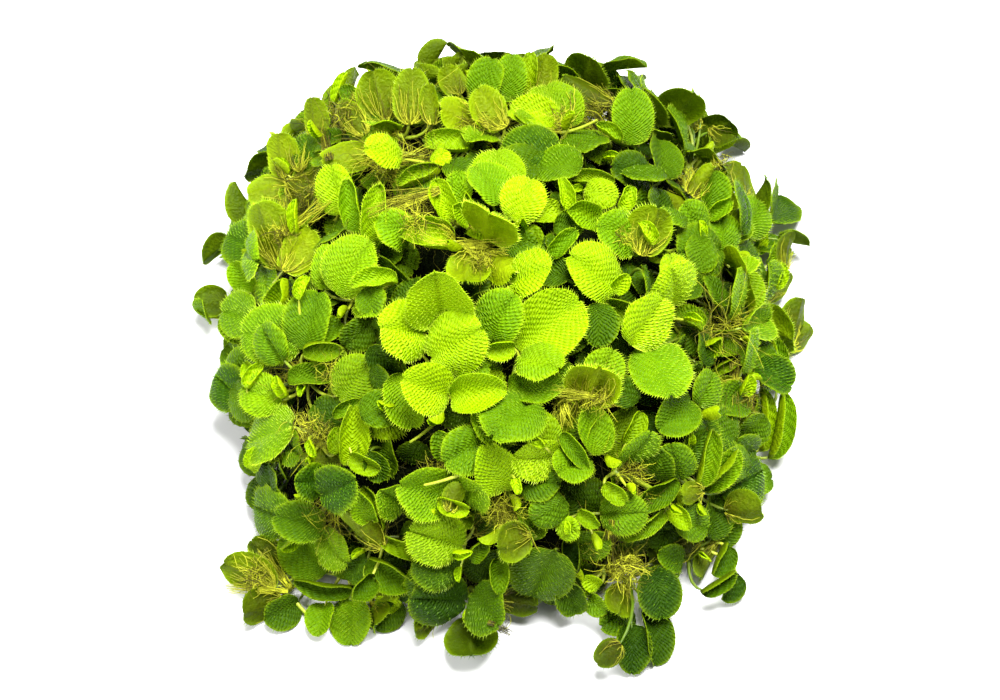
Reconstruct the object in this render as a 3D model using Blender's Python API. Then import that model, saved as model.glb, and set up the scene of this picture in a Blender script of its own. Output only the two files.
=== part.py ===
"""Water spangles: a rounded clump of small floating ferns, held together by their tangled roots.

Every plant is one solid: a thin stem, its round leaves and its root tufts, fused. The plants sit all over
a tangle of roots, stems and buried leaves. Lengths are in metres, +Z is up, and the clump rests on z = 0.
"""

import math
import random
from collections import namedtuple

import bmesh
import bpy
from mathutils import Matrix, Vector
from mathutils.bvhtree import BVHTree

MM = 0.001

# The rounded form that the leaves of the clump follow, and the tangle inside it
CLUMP_HALF_WIDTH = 0.062
CLUMP_HALF_DEPTH = 0.070
CLUMP_HEIGHT = 0.054
CLUMP_SQUARENESS = 2.7
FLOOR_CLEARANCE = 0.0006
TANGLE_LEVEL = -0.0095
TANGLE_ROUGHNESS = 0.0016
TANGLE_WAVES = (9, 8, 7)
NEAREST_REACH = 0.005
FARTHEST_REACH = 0.12
REACH_STEPS = 30
SLOPE_STEP = 0.0005

# The view that the places of the leaves were read in: a picture 1000 by 700, seen from the front and above
VIEW_ELEVATION = math.radians(58)
VIEW_DISTANCE = 0.60
VIEW_CENTRE_X = 500
VIEW_CENTRE_Y = 352
METRES_PER_PIXEL = 0.000224
HIGHEST_PLACE = 0.075
LOWEST_PLACE = 0.0042
SIGHT_STEPS = 160
FLOOR_WEIGHT = 9

# Sizes of the plants
LEAF_THICKNESS = 0.0006
LEAF_LENGTH_TO_WIDTH = 1.08
LEAF_BASE_LEVEL = -0.0035
LEAF_TIP_LEVEL = 0.0015
BURIED_BASE_LEVEL = -0.0085
STEM_LEVEL = -0.0072
STEM_RADIUS = 0.0006
JOINT_RADIUS = 0.0013
JOINT_HEIGHT = 0.0045
LEAST_FACING = 0.2
GAP = 0.00035
SMALLEST_LEAF = 4.8
LOWEST_TIP = 0.0015

# What a row of a plant's list is: a leaf seen from its hairy top side or from its smooth underside,
# a leaf that lies deeper, or a tuft of roots that shows between the leaves
TOP, UNDER, BURIED, LOW, ROOTS = "top", "under", "buried", "low", "roots"

# A stem is given by the picture places of its joints. A row gives the picture places of a leaf's base and
# tip, its real width in millimetres, the angle between its two halves (180 is flat) and which kind it is.
Row = namedtuple("Row", "base_x base_y tip_x tip_y width opening kind")
PLANTS = [
    # Middle of the clump
    ([(432, 366), (449, 396)], [
        (427, 334, 381, 327, 12, 175, TOP), (432, 357, 482, 328, 12.5, 178, TOP),
        (443, 322, 434, 270, 15, 125, TOP), (448, 396, 403, 379, 11, 125, TOP),
        (451, 398, 506, 388, 11, 85, TOP), (480, 402, 426, 425, 11, 165, BURIED),
        (487, 440, 443, 463, 10, 155, TOP)]),
    ([(512, 392), (519, 352)], [
        (520, 352, 580, 300, 15, 120, TOP), (488, 338, 514, 294, 10.5, 155, TOP),
        (508, 386, 562, 384, 9, 115, TOP), (533, 400, 487, 436, 13, 170, TOP),
        (515, 346, 483, 351, 6, 90, TOP), (500, 362, 464, 373, 8, 165, BURIED),
        (520, 356, 575, 374, 12, 165, BURIED)]),
    ([(549, 455)], [
        (553, 450, 530, 414, 7.5, 170, TOP), (545, 447, 519, 428, 4, 50, TOP),
        (558, 456, 512, 459, 9.5, 140, TOP), (560, 434, 588, 468, 6, 60, TOP),
        (545, 474, 549, 498, 6, 150, BURIED), (512, 440, 505, 465, 5, 0, ROOTS)]),
    ([(506, 486), (512, 528)], [
        (505, 492, 485, 438, 10, 100, TOP), (515, 478, 519, 494, 3, 60, TOP),
        (538, 540, 527, 488, 8, 105, TOP), (530, 535, 497, 548, 8, 165, UNDER),
        (500, 558, 500, 594, 7, 60, TOP), (500, 528, 500, 496, 7, 0, ROOTS)]),
    ([(398, 396), (352, 418)], [
        (403, 372, 408, 417, 11, 105, TOP), (363, 408, 409, 425, 9, 150, TOP),
        (368, 426, 386, 478, 11, 75, TOP), (333, 418, 362, 402, 6, 60, TOP),
        (350, 466, 356, 405, 8, 90, TOP)]),
    ([(474, 246)], [
        (485, 240, 490, 212, 13, 165, UNDER), (472, 250, 465, 280, 9, 150, UNDER),
        (490, 256, 513, 275, 8, 100, UNDER), (509, 285, 555, 266, 11, 175, TOP),
        (455, 240, 402, 232, 10, 60, TOP), (478, 234, 500, 260, 6, 0, ROOTS)]),
    ([(458, 214)], [
        (452, 222, 435, 179, 8, 80, TOP), (468, 222, 452, 205, 6, 100, TOP),
        (460, 205, 458, 171, 6, 150, TOP), (470, 218, 465, 186, 5, 55, TOP),
        (412, 240, 391, 222, 8, 125, TOP), (435, 185, 385, 215, 8, 0, ROOTS)]),
    ([(514, 216)], [
        (515, 222, 531, 178, 9.5, 150, TOP), (510, 222, 496, 181, 8, 75, TOP),
        (531, 215, 563, 210, 6, 80, TOP), (500, 200, 497, 161, 11, 165, BURIED),
        (512, 240, 543, 242, 7, 150, BURIED)]),
    # Upper edge
    ([(562, 134), (500, 126)], [
        (560, 150, 502, 150, 11, 168, TOP), (560, 125, 510, 108, 9, 110, TOP),
        (565, 130, 546, 82, 12, 165, TOP), (505, 128, 478, 88, 9, 160, UNDER),
        (480, 120, 442, 108, 9, 150, UNDER), (510, 132, 450, 129, 5, 0, ROOTS)]),
    ([(470, 92), (528, 96)], [
        (460, 95, 445, 66, 6, 150, UNDER), (466, 80, 462, 54, 7, 150, UNDER),
        (480, 100, 492, 58, 8, 120, TOP), (510, 100, 512, 54, 7, 160, TOP),
        (527, 95, 531, 52, 5, 80, TOP), (537, 95, 548, 54, 7, 120, UNDER)]),
    ([(614, 122)], [
        (612, 104, 563, 77, 10, 110, UNDER), (622, 92, 578, 70, 8, 125, TOP),
        (633, 145, 632, 88, 9, 170, TOP), (622, 142, 596, 125, 5, 80, TOP),
        (603, 160, 622, 158, 4, 40, TOP), (610, 152, 580, 146, 8, 150, BURIED),
        (610, 130, 582, 98, 6, 0, ROOTS)]),
    ([(446, 152), (374, 152)], [
        (470, 145, 424, 143, 7, 75, TOP), (432, 155, 450, 162, 4, 120, TOP),
        (440, 168, 398, 186, 7, 60, TOP), (472, 149, 492, 154, 4, 40, TOP),
        (360, 147, 399, 146, 6.5, 175, TOP), (375, 150, 321, 158, 8, 120, UNDER),
        (430, 140, 398, 160, 5, 0, ROOTS), (352, 152, 392, 172, 6, 0, ROOTS)]),
    ([(398, 124)], [
        (410, 125, 412, 68, 8, 160, UNDER), (385, 122, 373, 70, 10, 150, UNDER),
        (432, 125, 428, 84, 5, 100, UNDER), (362, 108, 340, 87, 5, 100, TOP),
        (365, 135, 342, 100, 6, 105, UNDER), (395, 112, 408, 88, 4, 0, ROOTS)]),
    ([(326, 140), (290, 180)], [
        (318, 140, 313, 97, 6, 150, UNDER), (335, 105, 349, 69, 4.5, 60, UNDER),
        (340, 215, 331, 165, 8, 150, TOP), (286, 178, 279, 133, 8, 160, UNDER),
        (287, 182, 333, 198, 15, 150, UNDER), (288, 186, 246, 193, 8, 160, UNDER),
        (333, 136, 332, 80, 6, 0, ROOTS), (294, 180, 322, 160, 4, 0, ROOTS),
        (300, 196, 322, 222, 5, 0, ROOTS)]),
    # Left side
    ([(281, 260), (238, 284)], [
        (283, 270, 258, 203, 11, 140, UNDER), (285, 272, 313, 230, 9, 140, UNDER),
        (296, 235, 295, 196, 4.5, 45, TOP), (242, 250, 227, 235, 5, 120, UNDER),
        (255, 290, 233, 262, 7, 100, TOP), (228, 300, 194, 302, 7, 170, UNDER),
        (284, 262, 284, 210, 4, 0, ROOTS)]),
    ([(360, 236)], [
        (357, 235, 347, 179, 7, 70, TOP), (375, 250, 380, 184, 9, 80, TOP),
        (380, 255, 401, 252, 6, 150, TOP), (350, 238, 330, 212, 7, 150, BURIED),
        (335, 292, 375, 243, 12, 150, TOP)]),
    ([(346, 292)], [
        (398, 280, 352, 285, 7, 60, TOP), (347, 292, 379, 307, 9, 120, TOP),
        (322, 290, 330, 244, 6, 150, TOP), (345, 330, 372, 340, 6, 160, BURIED)]),
    ([(302, 338), (262, 314)], [
        (303, 335, 241, 334, 12.5, 170, TOP), (303, 350, 317, 291, 11, 125, TOP),
        (280, 315, 286, 278, 8, 75, TOP), (258, 318, 223, 312, 10, 160, TOP),
        (298, 300, 308, 276, 4.5, 60, TOP), (315, 340, 341, 322, 6, 100, TOP)]),
    ([(296, 376)], [
        (303, 352, 343, 350, 7, 75, TOP), (288, 380, 333, 378, 8, 60, TOP),
        (338, 398, 371, 362, 10, 172, TOP), (268, 392, 245, 362, 7, 65, TOP),
        (266, 395, 295, 400, 5, 120, TOP), (282, 402, 246, 388, 9, 150, TOP),
        (318, 366, 266, 370, 7, 0, ROOTS)]),
    ([(310, 444), (268, 432)], [
        (292, 425, 255, 442, 13, 160, TOP), (245, 402, 215, 374, 10, 150, TOP),
        (335, 455, 338, 427, 5, 60, TOP), (345, 456, 292, 458, 9, 95, UNDER),
        (283, 450, 251, 452, 5, 150, UNDER), (308, 440, 316, 457, 3, 60, TOP),
        (315, 414, 328, 413, 3, 60, TOP), (296, 442, 318, 420, 7, 0, ROOTS)]),
    ([(326, 492), (304, 528)], [
        (322, 480, 295, 482, 8, 150, TOP), (347, 470, 328, 497, 7, 150, TOP),
        (290, 520, 253, 505, 11, 160, TOP), (325, 528, 274, 515, 9, 130, TOP),
        (335, 505, 326, 545, 6, 0, ROOTS)]),
    # Lower left
    ([(378, 548)], [
        (380, 533, 365, 487, 7.5, 70, TOP), (383, 545, 347, 497, 8, 100, UNDER),
        (430, 556, 380, 538, 6, 60, TOP), (366, 562, 411, 585, 9, 80, TOP),
        (365, 570, 396, 596, 8, 150, UNDER)]),
    ([(338, 582)], [
        (325, 575, 287, 530, 11, 115, TOP), (355, 590, 294, 582, 7, 50, TOP),
        (345, 580, 352, 539, 8, 150, TOP), (347, 578, 325, 548, 6, 0, ROOTS)]),
    ([(266, 586), (302, 598)], [
        (275, 590, 224, 560, 9, 130, UNDER), (285, 575, 250, 541, 8, 150, UNDER),
        (280, 600, 233, 606, 8, 150, UNDER), (298, 605, 262, 621, 8, 120, TOP),
        (300, 610, 320, 628, 6, 150, UNDER), (290, 592, 226, 584, 3.5, 0, ROOTS),
        (290, 588, 256, 556, 5, 0, ROOTS)]),
    ([(366, 612)], [
        (357, 625, 317, 610, 8, 110, TOP), (365, 620, 355, 650, 7, 150, UNDER),
        (372, 605, 392, 630, 7, 120, UNDER), (370, 622, 385, 630, 3, 60, TOP),
        (375, 600, 401, 605, 4.5, 120, TOP), (362, 600, 380, 622, 4, 0, ROOTS)]),
    # Lower middle
    ([(470, 604)], [
        (465, 600, 411, 598, 12, 165, TOP), (470, 615, 471, 655, 11, 150, UNDER),
        (475, 592, 500, 627, 11, 160, TOP), (435, 618, 415, 632, 6, 150, UNDER),
        (500, 600, 538, 605, 7, 150, UNDER), (490, 622, 514, 634, 4, 0, ROOTS)]),
    ([(462, 552), (450, 502)], [
        (460, 570, 414, 562, 10, 150, TOP), (462, 545, 404, 520, 11, 150, TOP),
        (475, 521, 404, 509, 9, 75, TOP), (454, 553, 472, 552, 4, 40, TOP),
        (470, 560, 488, 540, 5.5, 60, TOP), (450, 496, 399, 485, 12, 115, TOP),
        (405, 505, 379, 490, 9, 125, TOP), (450, 510, 460, 481, 5, 120, UNDER),
        (440, 476, 424, 460, 5, 0, ROOTS)]),
    ([(560, 568)], [
        (555, 548, 531, 596, 13, 165, TOP), (572, 574, 570, 541, 7, 55, TOP),
        (583, 573, 583, 541, 3.5, 40, TOP), (565, 580, 577, 620, 8, 110, TOP),
        (588, 598, 606, 612, 5, 120, TOP)]),
    ([(588, 520)], [
        (600, 520, 558, 485, 12, 160, BURIED), (578, 512, 599, 527, 5, 60, TOP),
        (557, 526, 580, 531, 5, 170, TOP), (560, 520, 541, 510, 4.5, 100, TOP)]),
    # Lower right
    ([(622, 476), (668, 500)], [
        (618, 484, 616, 466, 4, 90, TOP), (603, 485, 626, 503, 5, 70, TOP),
        (679, 481, 631, 508, 8, 70, TOP), (667, 512, 624, 539, 6, 45, TOP),
        (670, 510, 691, 531, 6, 70, TOP), (628, 462, 650, 470, 6, 0, ROOTS)]),
    ([(608, 582), (638, 608)], [
        (600, 562, 602, 541, 3, 60, TOP), (600, 586, 583, 578, 4, 100, TOP),
        (625, 585, 618, 615, 7, 150, UNDER), (655, 568, 662, 619, 9.5, 160, TOP),
        (630, 606, 597, 626, 9, 140, TOP), (632, 624, 629, 675, 8.5, 115, TOP),
        (648, 608, 656, 667, 9, 95, TOP), (620, 640, 597, 662, 6, 120, UNDER),
        (610, 572, 650, 560, 7, 0, ROOTS)]),
    ([(704, 560)], [
        (700, 540, 648, 557, 9, 120, UNDER), (718, 543, 686, 573, 6, 90, UNDER),
        (702, 578, 734, 546, 7, 60, UNDER), (700, 592, 735, 570, 6, 60, TOP),
        (712, 540, 718, 492, 8, 125, TOP)]),
    ([(704, 492), (684, 474)], [
        (680, 480, 668, 442, 8.5, 172, TOP), (697, 468, 700, 443, 4.5, 150, TOP),
        (700, 487, 712, 430, 8, 60, TOP), (702, 490, 740, 450, 7, 70, TOP),
        (722, 495, 766, 470, 12, 165, TOP), (725, 510, 766, 500, 8, 125, UNDER),
        (702, 490, 682, 496, 5, 120, UNDER)]),
    ([(700, 418)], [
        (692, 400, 659, 430, 10, 115, TOP), (735, 440, 697, 420, 10, 165, TOP),
        (690, 445, 691, 434, 2.6, 60, TOP)]),
    # Right side
    ([(588, 402), (600, 452)], [
        (585, 405, 600, 365, 11, 160, UNDER), (575, 400, 560, 433, 5, 125, UNDER),
        (600, 455, 586, 408, 8.5, 130, TOP), (602, 455, 640, 410, 10.5, 95, TOP),
        (566, 396, 604, 404, 6, 0, ROOTS)]),
    ([(640, 334), (682, 312)], [
        (642, 315, 585, 318, 10, 65, TOP), (630, 345, 660, 298, 11, 165, TOP),
        (634, 347, 584, 356, 13, 165, TOP), (650, 345, 672, 397, 12.5, 170, TOP),
        (674, 305, 672, 267, 11, 170, TOP), (705, 328, 674, 312, 6, 80, TOP),
        (700, 350, 672, 325, 9, 150, BURIED)]),
    ([(742, 328)], [
        (740, 345, 692, 350, 9, 65, TOP), (742, 328, 766, 322, 10, 110, TOP),
        (712, 320, 703, 293, 4.5, 80, TOP), (762, 285, 717, 268, 12.5, 165, TOP),
        (737, 360, 703, 377, 5, 50, TOP), (744, 318, 700, 330, 7, 0, ROOTS)]),
    ([(722, 238)], [
        (718, 250, 677, 254, 12, 160, TOP), (728, 252, 718, 213, 8, 150, TOP),
        (702, 242, 700, 220, 3, 60, TOP), (707, 218, 732, 200, 6, 60, TOP),
        (758, 255, 758, 226, 4.5, 80, TOP), (745, 235, 762, 200, 9, 150, TOP),
        (745, 195, 742, 165, 11, 140, UNDER), (742, 196, 726, 186, 5, 0, ROOTS)]),
    ([(776, 290)], [
        (765, 300, 790, 272, 8, 130, UNDER), (775, 290, 782, 262, 4.5, 80, TOP),
        (768, 265, 776, 243, 5, 125, TOP), (785, 268, 791, 230, 6, 150, UNDER),
        (790, 345, 802, 298, 8, 130, UNDER), (785, 350, 817, 328, 8, 130, UNDER),
        (766, 300, 778, 280, 3.5, 0, ROOTS)]),
    ([(748, 384), (764, 452)], [
        (780, 385, 768, 335, 7, 65, TOP), (755, 365, 793, 386, 9, 120, TOP),
        (740, 380, 727, 427, 11, 150, UNDER), (742, 395, 750, 375, 4.5, 80, UNDER),
        (762, 452, 763, 389, 7, 55, TOP), (772, 460, 785, 392, 8, 60, TOP),
        (755, 450, 741, 428, 5, 125, UNDER), (740, 392, 738, 425, 6, 0, ROOTS)]),
    ([(700, 158)], [
        (690, 125, 658, 165, 12.5, 165, TOP), (700, 125, 695, 96, 9, 150, UNDER),
        (682, 122, 650, 108, 7, 150, UNDER), (712, 130, 738, 138, 7, 120, UNDER),
        (695, 158, 708, 157, 3, 60, TOP), (690, 195, 713, 165, 6, 50, UNDER),
        (710, 215, 716, 170, 8, 115, TOP)]),
    ([(598, 200), (640, 240)], [
        (615, 182, 561, 178, 6, 50, TOP), (585, 188, 617, 200, 6.5, 165, TOP),
        (582, 190, 568, 192, 3.5, 60, TOP), (570, 215, 562, 178, 6, 60, TOP),
        (598, 225, 567, 210, 8, 85, TOP), (622, 213, 632, 186, 5, 70, TOP),
        (635, 242, 599, 226, 10, 160, TOP), (640, 255, 652, 208, 10, 150, UNDER),
        (700, 235, 685, 203, 8, 150, TOP), (700, 212, 645, 200, 7, 90, UNDER),
        (645, 222, 642, 208, 4, 0, ROOTS)]),
    ([(588, 280)], [
        (615, 290, 570, 255, 12, 150, TOP), (550, 258, 577, 230, 6, 70, TOP),
        (614, 292, 628, 274, 4.5, 100, TOP)]),
]

# Leaves that stand all round a joint: how many, their widths in millimetres, how steeply they rise in
# degrees, how far above the joint they start, and their kind. A joint keeps at most as many as its last number.
Whorl = namedtuple("Whorl", "count widths rises lift openings kind most")
LOW_WHORL = Whorl(4, (7.5, 10.5), (5, 30), 0.0015, (150,), LOW, 1)
REAR_WHORL = Whorl(7, (9.0, 12.2), (5, 38), 0.0020, (170, 160, 140, 110, 75), TOP, 6)
WHORL_RADIUS = 0.003
WHORL_STEP = 137.5
LOW_SEED = 3
REAR_SEED = 7

# Plants on the sides that the view does not reach: each ring has its height angle, its first and last
# bearing round the clump, and how many places it offers. A place is used if enough leaves find room there.
REAR_RINGS = [(25, 12, 168, 9), (6, 6, 174, 9)]
REAR_PLANTS = 15
FEWEST_LEAVES = 4

# What a limb may try when its first place is taken: how much deeper it goes, its roll, its tilt, and its size
SHIFTS = (0.0, 0.0016, 0.0032, -0.0016, 0.0048, 0.0064, -0.0032, 0.008, -0.0048, -0.0064, -0.008)
TURNS = ((0, 0), (14, 0), (-14, 0), (0, 14), (0, -14), (26, 10), (-26, 10), (0, 30), (0, -30))
SIZES = (1.0, 0.88, 0.76, 0.64)
TUFT_SIZES = (1.0, 0.75, 0.5)

# Limbs of one plant come close near their joint, so they are compared from this part of the way along
OWN_TRIM = 0.12

# Half of a leaf's outline, from its base to its tip: part of the length, part of the half width, part of
# the thickness at the midrib. A larger leaf has more steps.
SMALL_LEAF_OUTLINE = ((0.46, 1.0, 1.0),)
LEAF_OUTLINE = ((0.20, 0.86, 1.0), (0.74, 0.92, 0.8))
LARGE_LEAF_OUTLINE = ((0.12, 0.72, 1.0), (0.48, 1.0, 1.0), (0.86, 0.70, 0.7))
SMALL_LEAF = 0.0082
LARGE_LEAF = 0.0126

# A root tuft swells to a belly, part of its length and part of its radius, and ends in a point past its last
# place
TUFT_BELLY = (0.5, 0.85)
TUFT_END = 1.1

# The triangles between two rings of four corners, 0 to 3 and then 4 to 7. The even corners are a leaf's
# midrib and the odd ones its edges, and each diagonal runs from an edge to the next ring's midrib.
SKIN = ((0, 1, 4), (1, 5, 4), (1, 2, 6), (1, 6, 5), (2, 3, 6), (3, 7, 6), (3, 0, 4), (3, 4, 7))

LEAF_GREEN = (0.30, 0.56, 0.02, 1)
TANGLE_BROWN = (0.10, 0.11, 0.02, 1)

Leaf = namedtuple("Leaf", "base tip normal width opening kind")


def clear_scene():
    for obj in list(bpy.data.objects):
        bpy.data.objects.remove(obj, do_unlink=True)


def level_of(point):
    """How far a point is outside the clump's rounded form, measured along the line from its centre."""
    across = (abs(point.x) / CLUMP_HALF_WIDTH) ** CLUMP_SQUARENESS
    along = (abs(point.y) / CLUMP_HALF_DEPTH) ** CLUMP_SQUARENESS
    reach = math.sqrt((across + along) ** (2 / CLUMP_SQUARENESS) + (point.z / CLUMP_HEIGHT) ** 2)
    return point.length * (1 - 1 / max(reach, 0.05))


def outward(point):
    """The direction straight out of the clump's rounded form."""
    slope = Vector([
        level_of(point + axis * SLOPE_STEP) - level_of(point - axis * SLOPE_STEP)
        for axis in (Vector((1, 0, 0)), Vector((0, 1, 0)), Vector((0, 0, 1)))])
    return slope.normalized()


VIEW_FORWARD = Vector((0, math.cos(VIEW_ELEVATION), -math.sin(VIEW_ELEVATION)))
VIEW_UP = Vector((0, math.sin(VIEW_ELEVATION), math.cos(VIEW_ELEVATION)))
VIEW_RIGHT = Vector((1, 0, 0))
VIEW_POINT = VIEW_FORWARD * -VIEW_DISTANCE


def sight(pixel_x, pixel_y):
    """The direction in which a place of the picture is seen."""
    across = VIEW_RIGHT * ((pixel_x - VIEW_CENTRE_X) * METRES_PER_PIXEL)
    up = VIEW_UP * ((VIEW_CENTRE_Y - pixel_y) * METRES_PER_PIXEL)
    return (VIEW_FORWARD * VIEW_DISTANCE + across + up).normalized()


def place_at(pixel_x, pixel_y, level):
    """Where the line of sight meets the clump at this level, or passes nearest to it."""
    direction = sight(pixel_x, pixel_y)
    start = (HIGHEST_PLACE - VIEW_POINT.z) / direction.z
    end = (LOWEST_PLACE - VIEW_POINT.z) / direction.z
    nearest = None
    for index in range(SIGHT_STEPS + 1):
        point = VIEW_POINT + direction * (start + (end - start) * index / SIGHT_STEPS)
        depth = level_of(point) - level
        if nearest is None or depth < nearest[0]:
            nearest = (depth, point)
        if depth <= 0:
            return point
    return nearest[1]


def joint_at(pixel_x, pixel_y):
    """A stem's joint straight below the leaf bases that are seen at a place of the picture."""
    point = place_at(pixel_x, pixel_y, LEAF_BASE_LEVEL)
    point += outward(point) * (STEM_LEVEL - level_of(point))
    point.z = max(point.z, JOINT_HEIGHT)
    return point


def reach_to(direction, level):
    """How far from the clump's centre this level is, in a direction."""
    low, high = NEAREST_REACH, FARTHEST_REACH
    for _ in range(REACH_STEPS):
        middle = (low + high) / 2
        if level_of(direction * middle) < level:
            low = middle
        else:
            high = middle
    return low


def joint_on_bearing(bearing, height_angle):
    """A stem's joint in a direction from the clump's centre."""
    turn = math.radians(bearing)
    rise = math.radians(height_angle)
    direction = Vector((math.cos(turn) * math.cos(rise), math.sin(turn) * math.cos(rise), math.sin(rise)))
    point = direction * reach_to(direction, STEM_LEVEL)
    point.z = max(point.z, JOINT_HEIGHT)
    return point


def leaf_from_row(row):
    """A leaf whose base and tip fall on the row's places of the picture, tilted to have its real length."""
    base_level = BURIED_BASE_LEVEL if row.kind == BURIED else LEAF_BASE_LEVEL
    tip_level = base_level + LEAF_TIP_LEVEL - LEAF_BASE_LEVEL
    base = place_at(row.base_x, row.base_y, base_level)
    direction = sight(row.tip_x, row.tip_y)
    length = row.width * MM * LEAF_LENGTH_TO_WIDTH
    nearest = VIEW_POINT + direction * (base - VIEW_POINT).dot(direction)
    missing = length ** 2 - (nearest - base).length_squared
    choices = [nearest]
    if missing > 0:
        choices = [nearest + direction * math.sqrt(missing), nearest - direction * math.sqrt(missing)]
    tip = min(choices, key=lambda point: (abs(level_of(point) - tip_level)
                                          + max(LOWEST_TIP - point.z, 0) * FLOOR_WEIGHT))
    middle = (base + tip) / 2
    facing = (outward(middle) - sight(row.base_x, row.base_y)).normalized()
    if row.kind == UNDER:
        facing.negate()
    return Leaf(base, tip, facing, row.width * MM, row.opening, row.kind)


def leaf_frame(leaf):
    """Unit directions along a leaf, across it and out of its top side, and its length."""
    along = (leaf.tip - leaf.base).normalized()
    normal = (leaf.normal - along * leaf.normal.dot(along)).normalized()
    return along, along.cross(normal), normal, (leaf.tip - leaf.base).length


def leaf_rings(leaf, root, grow=0.0):
    """A leaf with its petiole as four-cornered rings after its root: each ring's corners are the midrib's
    upper side, one edge, the midrib's lower side and the other edge. The last ring is the tip, a point."""
    along, across, normal, length = leaf_frame(leaf)
    fold = math.radians(180 - leaf.opening) / 2
    right, left = [across * (side * math.cos(fold)) + normal * math.sin(fold) for side in (1, -1)]
    way = ((leaf.base - root).normalized() + along).normalized()
    stem_across = way.cross(normal).normalized() * (STEM_RADIUS + grow)
    stem_normal = stem_across.cross(way)
    rings = [[leaf.base + side for side in (stem_normal, stem_across, -stem_normal, -stem_across)]]
    outline = LARGE_LEAF_OUTLINE if leaf.width > LARGE_LEAF else LEAF_OUTLINE
    if leaf.width < SMALL_LEAF or leaf.kind == LOW:
        outline = SMALL_LEAF_OUTLINE
    for part_along, part_across, part_thick in outline:
        centre = leaf.base + along * (length * part_along)
        reach = leaf.width / 2 * part_across + grow
        half = LEAF_THICKNESS * part_thick + grow
        rings.append([centre + side for side in (normal * half, right * reach, -normal * half, left * reach)])
    return rings + [[leaf.tip + along * grow]]


def tuft_rings(stations, grow=0.0):
    """A root tuft as four-cornered rings round its (centre, radius) stations, which end in a point."""
    rings = []
    along = (stations[-1][0] - stations[0][0]).normalized()
    across = along.orthogonal().normalized()
    for centre, radius in stations[:-1]:
        rings.append([centre + Matrix.Rotation(math.tau * k / 4, 3, along) @ across * (radius + grow)
                      for k in range(4)])
    return rings + [[stations[-1][0] + along * grow]]


def turned(ring, by):
    return ring[by:] + ring[:by]


def turn_to(ring, other):
    """How many corners to turn a ring by, for its corners to lie nearest to the other ring's."""
    return min(range(4), key=lambda by: sum((a - b).length for a, b in zip(turned(ring, by), other)))


class Joint:
    """A joint of a stem: a small body with twelve four-cornered faces, each a root for one limb."""

    def __init__(self, centre):
        self.centre = centre
        inward = -outward(centre)
        across = inward.orthogonal().normalized()
        turn = Matrix((inward, across, inward.cross(across))).transposed()
        turn = turn @ Matrix.Rotation(math.radians(-45), 3, "Z")
        signs = (1, -1)
        corners = [Vector((x, y, z)) for x in signs for y in signs for z in signs]
        peaks = [Vector((2 * sign if axis == k else 0 for k in range(3)))
                 for axis in range(3) for sign in signs]
        self.corners = [centre + turn @ point * (JOINT_RADIUS / math.sqrt(2)) for point in corners + peaks]
        self.faces = []
        for first in range(8, 14):
            for second in range(first + 1, 14):
                if (first - 8) // 2 == (second - 8) // 2:
                    continue
                middle = (self.corners[first] + self.corners[second]) / 2 - centre
                edge = middle.length_squared * 0.9
                near = [k for k in range(8) if (self.corners[k] - centre).dot(middle) > edge]
                face = [first, near[0], second, near[1]]
                points = [self.corners[k] for k in face]
                if (points[1] - points[0]).cross(points[2] - points[0]).dot(middle) < 0:
                    face.reverse()
                self.faces.append(face)
        self.free = list(range(12))

    def face_points(self, face):
        return [self.corners[k] for k in self.faces[face]]

    def best_face(self, target):
        """The free face that looks most towards a point, or None where none does."""
        way = (target - self.centre).normalized()
        best = None
        for face in self.free:
            middle = sum(self.face_points(face), Vector()) / 4
            facing = (middle - self.centre).normalized().dot(way)
            if facing > LEAST_FACING and (best is None or facing > best[0]):
                best = (facing, face)
        return best and best[1]


def limb_shape(root, rings, grow=0.0, trim=0.0):
    """Points and faces of a closed limb: its root ring, which may start part of the way along, and its rings."""
    middle = sum(root, Vector()) / 4
    root = [point + (point - middle).normalized() * grow for point in turned(root, turn_to(root, rings[0]))]
    points = [a.lerp(b, trim) for a, b in zip(root, rings[0])]
    for ring in rings:
        points += ring
    last = len(points) - 5
    faces = [(3, 2, 1, 0)]
    for first in range(0, last, 4):
        faces += [tuple(first + corner for corner in face) for face in SKIN]
    faces += [(last + k, last + (k + 1) % 4, last + 4) for k in range(4)]
    return points, faces


def tuft_stations(row):
    """A root tuft that shows between the leaves, as (centre, radius) from its belly to its tips."""
    base = place_at(row.base_x, row.base_y, LEAF_BASE_LEVEL - 0.001)
    tip = place_at(row.tip_x, row.tip_y, LEAF_BASE_LEVEL + 0.001)
    part, radius = TUFT_BELLY
    return [(base.lerp(tip, part), row.width * MM / 2 * radius), (base.lerp(tip, TUFT_END), 0)]


def stem_shape(first, second, grow=0.0, trim=0.0):
    """Points and faces of the stem between two joints, and the faces of the joints that it takes."""
    faces = first.best_face(second.centre), second.best_face(first.centre)
    start = first.face_points(faces[0])
    end = second.face_points(faces[1])[::-1]
    end = turned(end, turn_to(end, start))
    if grow:
        for ring in (start, end):
            middle = sum(ring, Vector()) / 4
            ring[:] = [point + (point - middle).normalized() * grow for point in ring]
    points = [a.lerp(b, trim) for a, b in zip(start, end)] + [b.lerp(a, trim) for a, b in zip(start, end)]
    return points, [(3, 2, 1, 0), (4, 5, 6, 7), *SKIN], faces


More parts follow.
